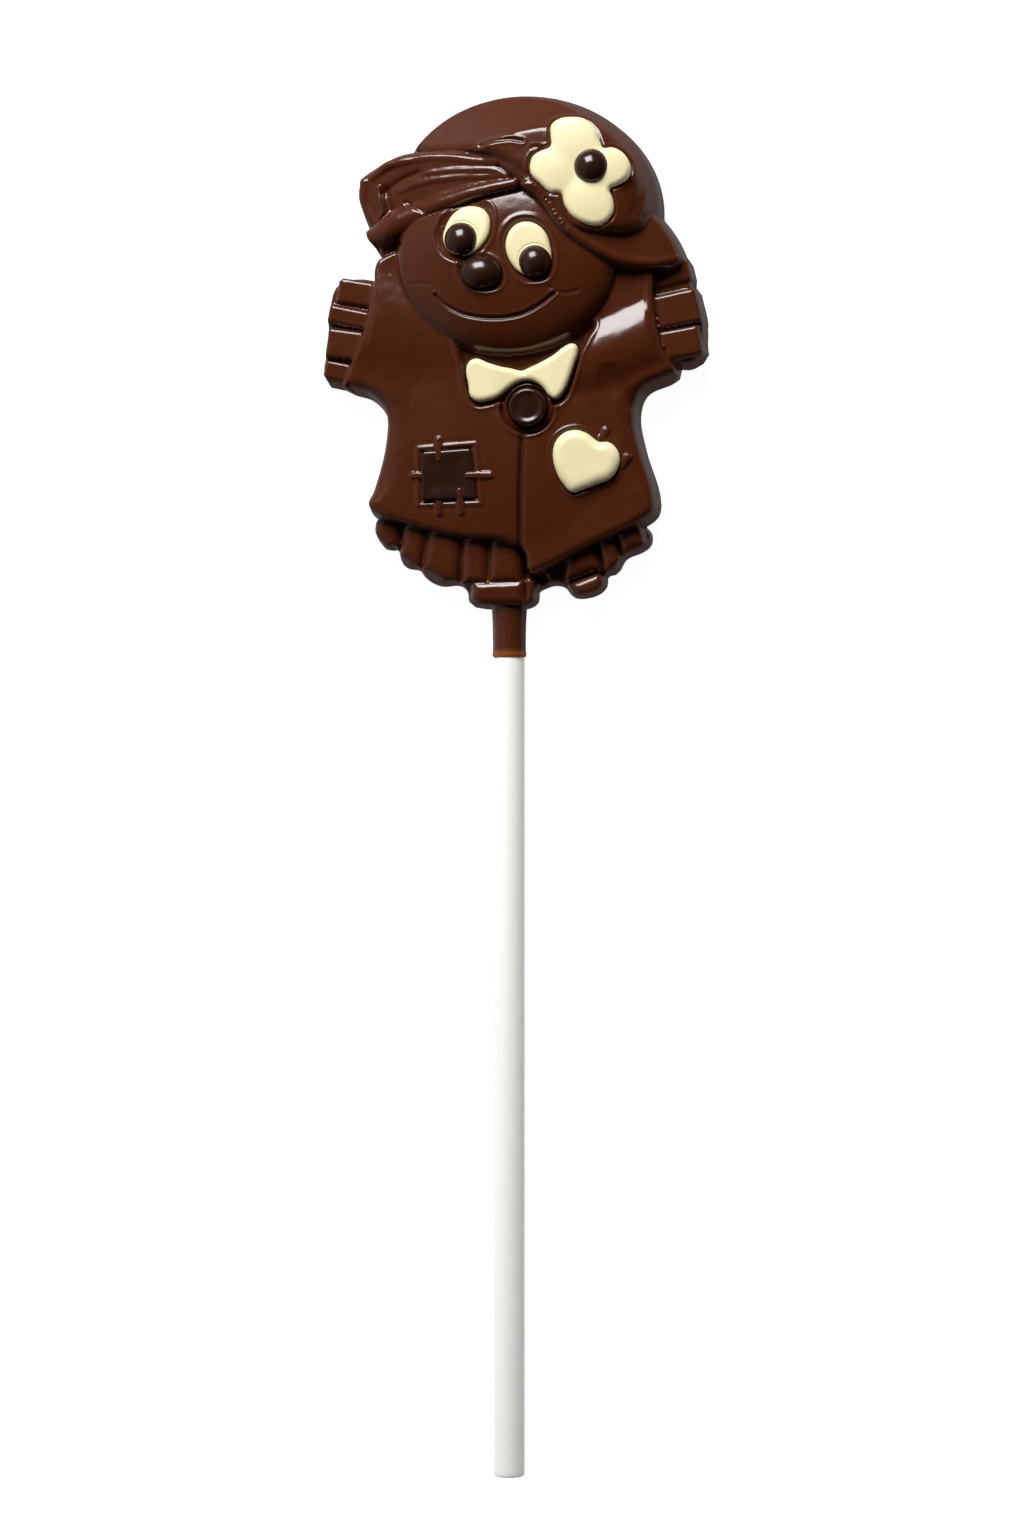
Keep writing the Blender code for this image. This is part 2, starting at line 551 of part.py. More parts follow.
def build_bead(name, centre, radii, bulge, top, floor, parts, cutters):
    """A round inlay and the pocket that it fills."""
    stretch = radii[1] / radii[0]
    profile = bead_profile(radii[0] - GAP / 2, bulge, top, floor)
    pocket(name + "_pocket", radii[0] + GAP / 2, floor - GAP, centre, stretch, cutters)
    return turned(name, profile, parts, centre, stretch)


def build_flat_inlay(name, outline, top, edge, floor, parts, cutters, slope=LEVEL, corner="AUTO"):
    """An inlay with a flat outline and a rounded top, and the pocket that it fills."""
    wide, narrow = GAP / 2, -GAP / 2
    slab(name + "_pocket", outline, CUTTER_TOP, SHARP, cutters, wide, floor - GAP, draft=0.0, corner=corner)
    return slab(name, outline, top, edge, parts, narrow, floor, slope, draft=0.0, corner=corner)


def build_flower(parts, cutters):
    """Four round petals fused with their hub, a pocket for them in the hat, and one for the ball."""
    petals = add_collection("petals")
    flower = None
    for number, (centre, radius) in enumerate([FLOWER_HUB] + PETALS):
        top = crown_height(*centre) + PETAL_RISE
        profile = bead_profile(radius - GAP / 2, PETAL_BULGE, top, FLOWER_FLOOR)
        name = f"petal_{number}" if flower else "flower"
        solid = turned(name, profile, petals if flower else parts, centre)
        flower = flower or solid
        pocket(name + "_pocket", radius + GAP / 2, FLOWER_FLOOR - GAP, centre, 1.0, cutters)
    combine(flower, petals, "UNION")
    ball_pocket = add_collection("ball_pocket")
    centre, radius, top = FLOWER_BALL
    bulge = BALL_BULGE * radius
    ball = build_bead("flower_centre", centre, (radius, radius), bulge, top, BALL_FLOOR, parts, ball_pocket)
    combine(flower, ball_pocket, "DIFFERENCE")
    return flower, ball


def build_inlays(parts, cutters):
    """Every white or dark piece, with its chocolate's name."""
    flower, ball = build_flower(parts, cutters)
    inlays = {flower: "white_chocolate", ball: "dark_chocolate"}
    sockets = add_collection("pupil_pockets")
    for name, (centre, radius, top) in PUPILS.items():
        bulge = BALL_BULGE * radius
        bead = build_bead(name, centre, (radius, radius), bulge, top, FACE_INLAY_FLOOR, parts, cutters)
        inlays[bead] = "dark_chocolate"
    for name, outline in EYE_WHITES.items():
        white = build_flat_inlay(name, outline, face_height(*middle_of(outline)) + EYE_RISE, EYE_EDGE,
                                 FACE_INLAY_FLOOR, parts, cutters, EYE_SLOPES[name])
        inlays[white] = "white_chocolate"
        centre, radius, top = PUPILS[name.replace("eye_white", "pupil")]
        pocket(name + "_bite", radius + GAP, 0.0, centre, 1.0, sockets)
        combine(white, sockets, "DIFFERENCE")
        sockets = add_collection("pupil_pockets")
    centre, radii, top = NOSE
    bulge = BALL_BULGE * radii[1]
    nose = build_bead("nose", centre, radii, bulge, top, FACE_INLAY_FLOOR, parts, cutters)
    inlays[nose] = "dark_chocolate"
    bow = build_flat_inlay("bow_tie", BOW_OUTLINE, BOW_TOP, BOW_EDGE, BOW_FLOOR, parts, cutters)
    heart = build_flat_inlay("heart", HEART_OUTLINE, HEART_TOP, HEART_EDGE, INLAY_FLOOR, parts, cutters)
    inlays[bow] = inlays[heart] = "white_chocolate"
    patch = build_flat_inlay("patch", PATCH_OUTLINE, PATCH_TOP, PATCH_EDGE, INLAY_FLOOR, parts, cutters, corner="VECTOR")
    centre, radius, top = BUTTON
    button = build_bead("button", centre, (radius, radius), BUTTON_BULGE, top, BOW_FLOOR, parts, cutters)
    inlays[patch] = inlays[button] = "dark_chocolate"
    return inlays


def build_stick(parts):
    """A rolled paper stick with slightly rounded rims."""
    radius, far = STICK_DIAMETER / 2, STICK_END + STICK_LENGTH
    soft = radius - STICK_EDGE
    profile = [(0.0, far), (soft, far), (radius, far - STICK_EDGE), (radius, STICK_END + STICK_EDGE),
               (soft, STICK_END), (0.0, STICK_END)]
    stick = turned("stick", profile, parts)
    lay_along_stick(stick)
    return stick


def main():
    clear_scene()
    parts = add_collection("scarecrow_lollipop")
    forms = add_collection("figure_forms")
    cutters = add_collection("figure_cutters")
    spare = add_collection("spare")
    materials = {name: add_material(name, *look) for name, look in MATERIALS.items()}

    build_hat(forms, spare)
    build_head(forms)
    build_coat(forms, spare)
    build_hands_and_fringe(forms)
    build_sleeve(forms)
    figure = bpy.data.objects["coat"]
    forms.objects.unlink(figure)
    parts.objects.link(figure)
    figure.name = "figure"
    combine(figure, forms, "UNION")

    inlays = build_inlays(parts, cutters)
    cut_surface(cutters)
    combine(figure, cutters, "DIFFERENCE")
    keep_outer_skin(figure)
    pieces = {figure: "milk_chocolate", build_stick(parts): "paper", **inlays}

    root = add_object("scarecrow_lollipop_origin", None, parts)
    for piece, chocolate in pieces.items():
        piece.parent = root
        piece.data.materials.clear()
        piece.data.materials.append(materials[chocolate])
        piece.data.shade_smooth()
        piece.data.set_sharp_from_angle(angle=math.radians(40.0))
    bpy.data.collections.remove(spare)


main()
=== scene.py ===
import math
import bpy
import bmesh
import numpy as np
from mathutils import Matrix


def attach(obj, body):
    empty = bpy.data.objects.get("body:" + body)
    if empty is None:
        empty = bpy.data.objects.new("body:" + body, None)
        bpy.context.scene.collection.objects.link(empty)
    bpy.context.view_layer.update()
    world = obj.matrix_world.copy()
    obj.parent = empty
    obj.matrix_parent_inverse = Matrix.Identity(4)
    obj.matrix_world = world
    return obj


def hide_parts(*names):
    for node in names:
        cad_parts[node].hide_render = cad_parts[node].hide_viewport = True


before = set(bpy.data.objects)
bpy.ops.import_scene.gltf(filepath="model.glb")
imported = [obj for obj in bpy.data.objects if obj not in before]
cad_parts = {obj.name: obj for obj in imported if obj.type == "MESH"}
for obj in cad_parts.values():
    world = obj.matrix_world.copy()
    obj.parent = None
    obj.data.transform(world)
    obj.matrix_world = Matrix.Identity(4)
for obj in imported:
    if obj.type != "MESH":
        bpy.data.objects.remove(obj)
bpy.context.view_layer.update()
print("frame loaded:", len(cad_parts), "nodes")

# Shapes are worked out in millimetres in the frame's axes, and become metres when a mesh is filled.
mm = 0.001
lean = math.tan(math.radians(6.0))  # draft of the mould: every wall leans in by 6 degrees
seed = 11


# lines and distances

def smoothLine(points, closed=False, perSpan=6):
    # Hermite curve through the points: each span leaves and arrives along the bisector of the two chords at
    # a point, with the span's own length as speed. Columns after x and y run straight from point to point.
    p = np.array(points, float)
    starts, ends = (p, np.roll(p, -1, 0)) if closed else (p[:-1], p[1:])
    chord = ends[:, :2] - starts[:, :2]
    length = np.linalg.norm(chord, axis=1, keepdims=True)
    unit = chord / length
    before = np.roll(unit, 1, 0) if closed else np.vstack([unit[:1], unit])
    after = unit if closed else np.vstack([unit, unit[-1:]])
    course = (before + after) / np.linalg.norm(before + after, axis=1, keepdims=True)
    leave, arrive = (course, np.roll(course, -1, 0)) if closed else (course[:-1], course[1:])
    t = (np.arange(perSpan) / perSpan)[None, :, None]
    leaving, arriving = (length * leave)[:, None], (length * arrive)[:, None]
    place = ((2 * t**3 - 3 * t**2 + 1) * starts[:, None, :2] + (t**3 - 2 * t**2 + t) * leaving
             + (3 * t**2 - 2 * t**3) * ends[:, None, :2] + (t**3 - t**2) * arriving)
    rest = (1 - t) * starts[:, None, 2:] + t * ends[:, None, 2:]
    line = np.concatenate([place, rest], 2).reshape(-1, p.shape[1])
    return line if closed else np.vstack([line, p[-1:]])


def ovalLoop(centre, radii, count=96):
    # (a cos u, b sin u), moved to the centre
    u = np.linspace(0, 2 * np.pi, count, endpoint=False)
    return np.stack([centre[0] + radii[0] * np.cos(u), centre[1] + radii[1] * np.sin(u)], 1)


def insideOf(x, y, loop):
    # distance to the nearest side of a closed loop, plus inside and minus
    # outside; a ray to +x that crosses an odd number of sides starts inside
    best = np.full(x.shape, np.inf)
    within = np.zeros(x.shape, bool)
    for (ax, ay), (bx, by) in zip(loop, np.roll(loop, -1, 0)):
        ex, ey = bx - ax, by - ay
        t = np.clip(((x - ax) * ex + (y - ay) * ey) / (ex * ex + ey * ey), 0, 1)
        best = np.minimum(best, (x - ax - t * ex) ** 2 + (y - ay - t * ey) ** 2)
        if ey:
            within ^= ((ay > y) != (by > y)) & (x < ax + (y - ay) * ex / ey)
    return np.where(within, 1.0, -1.0) * np.sqrt(best)


def nearLine(x, y, line):
    # distance to an open line, and its further columns at the nearest point, straight between its points
    best = np.full(x.shape, np.inf)
    extras = np.zeros((line.shape[1] - 2,) + x.shape)
    for a, b in zip(line[:-1], line[1:]):
        ex, ey = b[0] - a[0], b[1] - a[1]
        t = np.clip(((x - a[0]) * ex + (y - a[1]) * ey) / (ex * ex + ey * ey), 0, 1)
        far = (x - a[0] - t * ex) ** 2 + (y - a[1] - t * ey) ** 2
        nearer = far < best
        best = np.where(nearer, far, best)
        for k in range(len(extras)):
            extras[k] = np.where(nearer, a[k + 2] + t * (b[k + 2] - a[k + 2]), extras[k])
    return (np.sqrt(best), *extras)


# heights

def softMax(a, b, soft):
    # the larger of two heights, with a fillet about soft wide where they meet
    h = np.clip(0.5 + 0.5 * (a - b) / soft, 0, 1)
    return a * h + b * (1 - h) + soft * h * (1 - h)


def softMin(a, b, soft):
    # the smaller of two heights, with the same fillet
    return -softMax(-a, -b, soft)


def ramp(v, low, high):
    # 0 below low, 1 above high, 3t2 - 2t3 between
    t = np.clip((v - low) / (high - low), 0, 1)
    return t * t * (3 - 2 * t)


def bump(d, wide):
    # bell of height 1: exp(-(d / wide)2)
    return np.exp(-(d / wide) ** 2)


def edged(inside, top, wide, high, fall=0.22):
    # a wall that falls 1 / fall per mm outside the line, then a quarter ellipse wide by high, then the top
    u = np.clip(inside / wide, 0, 1)
    return np.where(inside < 0, top - high + inside / fall, top - high + high * np.sqrt(u * (2 - u)))


def walled(inside, top, wide, high):
    # the same over a footprint: the wall leans in by the draft, so its edge lies (top - high) tan 6 inside
    return edged(inside - (top - high) * lean, top, wide, high, lean)


def domed(x, y, form):
    # rim + rise (1 - r^flat)^(1/steep), r from 0 in the middle to 1 at the rim, and a drafted wall below
    r = np.hypot((x - form["centre"][0]) / form["radii"][0], (y - form["centre"][1]) / form["radii"][1])
    cap = np.clip(1 - r ** form["flat"], 0, 1) ** (1 / form["steep"])
    return np.where(r < 1, form["rim"] + (form["top"] - form["rim"]) * cap,
                    form["rim"] - (r - 1) * min(form["radii"]) / lean)


def rolled(d, axis, radius):
    # a round bead: axis + sqrt(r2 - d2), with a drafted wall below its widest line
    bead = axis + np.sqrt(np.clip(radius**2 - d**2, 0, None))
    return np.where(d < radius, bead, axis - (d - radius) / lean)


def waves(x, y, size, count=9, key=0):
    # slow unevenness: the mean of sines with random directions and phases, wavelengths near the size in mm
    rng = np.random.default_rng(seed + key)
    total = np.zeros(np.shape(x))
    angles = rng.uniform(0, np.pi, count)
    phases = rng.uniform(0, 6.28, count)
    stretches = rng.uniform(0.7, 1.6, count)
    for angle, phase, stretch in zip(angles, phases, stretches):
        total = total + np.sin((x * np.cos(angle) + y * np.sin(angle)) * 6.283 / (size * stretch) + phase)
    return total / count


def near(x, y, line, reach):
    # the points within reach of the box of a line
    low, high = np.min(line[:, :2], 0) - reach, np.max(line[:, :2], 0) + reach
    return (x > low[0]) & (x < high[0]) & (y > low[1]) & (y < high[1])


def raiseLoop(z, x, y, loop, top, wide, high, soft=0.12):
    # join a slab with rounded edges to the surface
    spot = near(x, y, loop, 1.0)
    px, py = x[spot], y[spot]
    level = top(px, py) if callable(top) else top
    z[spot] = softMax(z[spot], walled(insideOf(px, py, loop), level, wide, high), soft)


def raiseRoll(z, x, y, path, soft=0.12, rough=0.0):
    # join a bead that follows a line of x, y, height of its axis, radius
    line = smoothLine(path)
    spot = near(x, y, line, 3.0)
    d, axis, radius = nearLine(x[spot], y[spot], line)
    if rough:
        radius = radius * (1 + rough * waves(x[spot], y[spot], 2.6, key=5))
    z[spot] = softMax(z[spot], rolled(d, axis, radius), soft)


def crease(z, x, y, path, wide, deep, lip):
    # a groove: minus deep exp(-(d / wide)2), d from the line, and a raised lip 0.45 mm away on both sides
    line = smoothLine(path) if len(path) > 2 else np.array(path, float)
    spot = near(x, y, line, 1.5)
    d = nearLine(x[spot], y[spot], line[:, :2])[0]
    z[spot] += lip * bump(d - 0.45, 0.18) - deep * bump(d, wide)


# a cast piece: a height over an outline, with a drafted wall and a flat back

def castMesh(name, inside, height, box, step, rings, floor, backLift=0.12):
    # Grid points whose distance inside the footprint passes rings[0] carry the front. The
    # grid's ragged edge is moved onto that contour, and ring after ring follows the contours p
    # - (d(p) - ring) grad d / |grad d|2 down the wall to the floor. The back is one flat face.
    xs, ys = np.arange(box[0], box[1], step), np.arange(box[2], box[3], step)
    x, y = np.meshgrid(xs, ys)
    d = inside(x, y)
    keep = d > rings[0] - 0.3 * step
    cell = keep[:-1, :-1] & keep[1:, :-1] & keep[:-1, 1:] & keep[1:, 1:]
    for times in range(2):  # drop cells that touch only at a corner
        cell[:-1, :-1] &= ~(cell[:-1, :-1] & cell[1:, 1:] & ~cell[1:, :-1] & ~cell[:-1, 1:])
        cell[1:, :-1] &= ~(cell[1:, :-1] & cell[:-1, 1:] & ~cell[:-1, :-1] & ~cell[1:, 1:])
    number = np.arange(x.size).reshape(x.shape)
    rows, columns = np.nonzero(cell)
    corners = np.stack([number[rows, columns], number[rows, columns + 1], number[rows + 1, columns + 1],
                        number[rows + 1, columns]], 1)
    used, faces = np.unique(corners, return_inverse=True)
    faces = faces.reshape(corners.shape)
    px, py = x.ravel()[used].copy(), y.ravel()[used].copy()
    starts, ends = faces.ravel(), np.roll(faces, -1, 1).ravel()
    sides = starts.astype(np.int64) * len(used) + ends
    edge = ~np.isin(ends.astype(np.int64) * len(used) + starts, sides)
    a, b = starts[edge], ends[edge]
    rim = np.unique(a)
    place = np.zeros(len(used), int)
    place[rim] = np.arange(len(rim))

    def settle(qx, qy, target):
        e = 0.02  # step of the slope, mm
        for times in range(4):
            gap = inside(qx, qy) - target
            gx = (inside(qx + e, qy) - inside(qx - e, qy)) / (2 * e)
            gy = (inside(qx, qy + e) - inside(qx, qy - e)) / (2 * e)
            size = np.clip(gx**2 + gy**2, 0.3, None)
            qx, qy = qx - gap * gx / size, qy - gap * gy / size
        return qx, qy

    onward, back = np.zeros(len(rim), int), np.zeros(len(rim), int)
    onward[place[a]], back[place[b]] = place[b], place[a]
    qx, qy = settle(px[rim], py[rim], rings[0])
    for rounds in range(3):  # even out the spacing along the contour
        for times in range(4):
            qx, qy = (qx + qx[onward] + qx[back]) / 3, (qy + qy[onward] + qy[back]) / 3
        qx, qy = settle(qx, qy, rings[0])
    px[rim], py[rim] = qx, qy
    points = [np.stack([px, py, np.maximum(height(px, py), floor + backLift)], 1)]
    quads, ring, total = [faces], rim, len(used)
    for target in list(rings[1:]) + ["back"]:
        if target == "back":
            wall = np.stack([px[rim], py[rim], np.full(len(rim), floor)], 1)
        else:
            qx, qy = settle(qx, qy, target)
            level = np.full(qx.shape, floor + backLift)
            if target > rings[-1]:
                level = np.maximum(height(qx, qy), level)
            wall = np.stack([qx, qy, level], 1)
        points.append(wall)
        following = total + np.arange(len(rim))
        upper = ring[place[a]], ring[place[b]]
        lower = following[place[a]], following[place[b]]
        quads.append(np.stack([upper[1], upper[0], lower[0], lower[1]], 1))
        ring, total = following, total + len(rim)
    mesh = bpy.data.meshes.new(name)
    mesh.from_pydata((np.concatenate(points) * mm).tolist(), [], np.concatenate(quads).tolist())
    bm = bmesh.new()
    bm.from_mesh(mesh)
    openSides = [side for side in bm.edges if side.is_boundary]
    bmesh.ops.holes_fill(bm, edges=openSides, sides=0)
    bmesh.ops.recalc_face_normals(bm, faces=bm.faces)
    for face in bm.faces:
        face.smooth = True
    for side in openSides:
        side.smooth = False
    bm.to_mesh(mesh)
    bm.free()
    return mesh


def turnedMesh(name, profile, centre, stretch=1.0, turns=64, tilt=None):
    # (radius cos u, stretch radius sin u, height) for each profile point,
    # closed at both ends; a tilt shears the height by (a, b) per mm in x and y
    profile = np.array(profile, float)
    u = np.linspace(0, 2 * np.pi, turns, endpoint=False)
    x = np.outer(profile[1:-1, 0], np.cos(u))
    y = np.outer(profile[1:-1, 0], np.sin(u)) * stretch
    z = np.repeat(profile[1:-1, 1:], turns, 1)
    points = np.stack([x, y, z], 2).reshape(-1, 3)
    points = np.vstack([points, [0, 0, profile[0, 1]], [0, 0, profile[-1, 1]]])
    if tilt:
        points[:, 2] += tilt[0] * points[:, 0] + tilt[1] * points[:, 1]
    points[:, 0] += centre[0]
    points[:, 1] += centre[1]
    rows = len(profile) - 2
    i, j = np.meshgrid(np.arange(rows - 1), np.arange(turns), indexing="ij")
    k = (j + 1) % turns
    quads = np.stack([i * turns + j, (i + 1) * turns + j, (i + 1) * turns + k, i * turns + k], 2)
    j = np.arange(turns)
    k = (j + 1) % turns
    first, last = rows * turns, rows * turns + 1
    caps = np.vstack([np.stack([np.full(turns, first), j, k], 1),
                      np.stack([np.full(turns, last), (rows - 1) * turns + k, (rows - 1) * turns + j], 1)])
    mesh = bpy.data.meshes.new(name)
    mesh.from_pydata((points * mm).tolist(), [], quads.reshape(-1, 4).tolist() + caps.tolist())
    bm = bmesh.new()
    bm.from_mesh(mesh)
    bmesh.ops.recalc_face_normals(bm, faces=bm.faces)
    for face in bm.faces:
        face.smooth = True
    bm.to_mesh(mesh)
    bm.free()
    return mesh


def addPiece(name, mesh, material, slot, *nodes):
    # an object on the body that takes the place of the CAD nodes named
    piece = bpy.data.objects.new(name, mesh)
    bpy.context.scene.collection.objects.link(piece)
    mesh.materials.append(material)
    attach(piece, "root")
    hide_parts(*nodes)


# materials

def linearOf(hexColour):
    # sRGB hex to linear light
    parts = [int(hexColour[i:i + 2], 16) / 255 for i in (0, 2, 4)]
    return tuple(v / 12.92 if v <= 0.04045 else ((v + 0.055) / 1.055) ** 2.4 for v in parts) + (1.0,)


def addNode(tree, kind, inputs=None, **settings):
    # one node, with its settings, and its sockets set to a value or linked to another node's output
    node = tree.nodes.new(kind)
    for key, value in settings.items():
        setattr(node, key, value)
    for key, value in (inputs or {}).items():
        if isinstance(value, bpy.types.NodeSocket):
            tree.links.new(value, node.inputs[key])
        else:
            node.inputs[key].default_value = value
    return node


def startMaterial(name, base, roughness, ior, grain, grainDeep, cloudSize, thin=None):
    # clouds of noise run the colour from one hex value to the other and the gloss
    # 0.04 either way, and a finer noise gives a grain; sizes and depth in mm
    material = bpy.data.materials.new(name)
    material.use_nodes = True
    tree = material.node_tree
    shader = tree.nodes["Principled BSDF"]
    shader.inputs["IOR"].default_value = ior
    where = addNode(tree, "ShaderNodeTexCoord").outputs["Object"]
    cloud = addNode(tree, "ShaderNodeTexNoise", {
        "Vector": where, "Scale": 1 / (cloudSize * mm), "Detail": 4.0, "Roughness": 0.55})
    mixed = addNode(tree, "ShaderNodeMix", {
        0: cloud.outputs["Fac"], 6: linearOf(base[0]), 7: linearOf(base[1])}, data_type="RGBA")
    colour = mixed.outputs[2]
    if thin:  # its own colour, and the stretch along Y, in mm, over which that fades into the full one
        along = addNode(tree, "ShaderNodeSeparateXYZ", {"Vector": where}).outputs["Y"]
        share = addNode(tree, "ShaderNodeMapRange", {
            "Value": along, "From Min": thin[1] * mm, "From Max": thin[2] * mm,
            "To Min": 1.0, "To Max": 0.0}, interpolation_type="SMOOTHSTEP")
        lighter = addNode(tree, "ShaderNodeMix", {
            0: share.outputs["Result"], 6: colour, 7: linearOf(thin[0])}, data_type="RGBA")
        colour = lighter.outputs[2]
    tree.links.new(colour, shader.inputs["Base Color"])
    gloss = addNode(tree, "ShaderNodeMapRange", {
        "Value": cloud.outputs["Fac"], "From Min": 0.3, "From Max": 0.7,
        "To Min": roughness - 0.04, "To Max": roughness + 0.04})
    tree.links.new(gloss.outputs["Result"], shader.inputs["Roughness"])
    fine = addNode(tree, "ShaderNodeTexNoise", {
        "Vector": where, "Scale": 1 / (grain * mm), "Detail": 3.0, "Roughness": 0.5})
    relief = addNode(tree, "ShaderNodeBump", {
        "Height": fine.outputs["Fac"], "Strength": 1.0, "Distance": grainDeep * mm})
    tree.links.new(relief.outputs["Normal"], shader.inputs["Normal"])
    return material


milk = ("431D0C", "47210E")
# tempered milk chocolate, cast in a polished mould: an even satin gloss
milkChocolate = startMaterial(
    "cast_milk_chocolate", milk, roughness=0.19, ior=1.46, grain=1.111, grainDeep=0.02, cloudSize=6.25)
# a thin coat of it round the stick: lighter at its lower end, where the paper shows through
thinChocolate = startMaterial(
    "thin_milk_chocolate", milk, roughness=0.26, ior=1.46, grain=1.111, grainDeep=0.02, cloudSize=6.25,
    thin=("8A4A20", -45.2, -43.6))
# tempered white chocolate, cast in the same mould: cream, with a softer gloss
whiteChocolate = startMaterial(
    "cast_white_chocolate", ("E4D8AE", "E0D3A3"), roughness=0.33, ior=1.46, grain=1.4286, grainDeep=0.02,
    cloudSize=7.143)
# tempered dark chocolate, cast in the same mould: nearly black, as glossy as the milk chocolate
darkChocolate = startMaterial(
    "cast_dark_chocolate", ("25120A", "2A150C"), roughness=0.2, ior=1.46, grain=1.111, grainDeep=0.01,
    cloudSize=5.0)
# paper rolled tight and pressed: matt, with fibres too fine to see
rolledPaper = startMaterial(
    "rolled_paper", ("FAF8F4", "FCFAF6"), roughness=0.75, ior=1.45, grain=0.4, grainDeep=0.02, cloudSize=2.5)
print("materials made")


# the casting

casting = {
    "grid": 0.2,              # spacing of the front's grid, mm
    "uneven": 0.045,          # slow waviness of the cast surface, mm
    "coatTop": 8.2,
    "chest": dict(centre=(0.5, -12.5), radii=(15.5, 17.0), rim=7.6, top=9.1, flat=2.0, steep=2.0),
    # sleeves: ridge line, height of the ridge, fall per square mm
    "sleeves": [([(-8.0, 2.0), (-22.0, 5.5)], 9.0, 0.016), ([(10.0, -3.0), (23.5, 3.0)], 9.4, 0.06)],
    # rounding of the coat's edge, width and height: at the hem, and what the sides, arms and shoulders add
    "coatRound": ((1.0, 2.4, -2.0, -0.9), (0.9, 0.9, -0.7, -0.7)),
    "neckFloor": 7.3, "neckLip": 0.16, "handTop": 5.9, "fingerRound": (0.6, 0.6), "fingerCorner": 0.9,
    "fringeTop": 3.2,
    "lobeRound": (1.6, 0.9),       # width of a lobe's rounding, and its height as a share of that
    "face": dict(centre=(0.2, 12.8), radii=(16.3, 13.8), rim=7.6, top=12.2, flat=2.6, steep=2.2),
    "crown": dict(centre=(2.5, 20.2), radii=(19.9, 17.0), rim=3.5, top=13.1, flat=6.0, steep=2.0),
    "faceDip": (3.0, 21.6, 0.25),  # depth under the brim, and the line y = 21.6 + 0.25 x where it starts
    "socket": (0.14, 0.42),        # lip round the eyes and the nose, and depth inside it
    "crownLevel": ((6.8, 20.4), (13.6, 9.8)),  # oval in which the crown is level
    "crownFlank": (1.0, 0.35, 0.9),  # sag of the level part, and start and slope of the flank round it
    "visor": (11.3, 14.0, 14.0, -0.28, -0.1),  # height at a place, and slopes from there
    "fold": (8.0, -18.0, 24.0, 0.21, 0.0),
    "hairTop": 7.8, "lockTop": 6.6,
    "inlay": (0.3, 1.1),           # depth of the groove round an inlay, and of the pocket under it
    "patchRim": (0.12, 0.05),      # height of the rim round the patch, and depth of the line beside it
    "stitch": (0.56, 0.14, 0.18),  # radius, how far its axis lies under the coat, depth of its notch
    "bubble": (0.16, 0.2),         # lip and depth
    "rings": (0.95, 0.8, 0.65, 0.5, 0.35, 0.2, 0.08, 0.0),  # the edge's rings: distances inside the outline
}
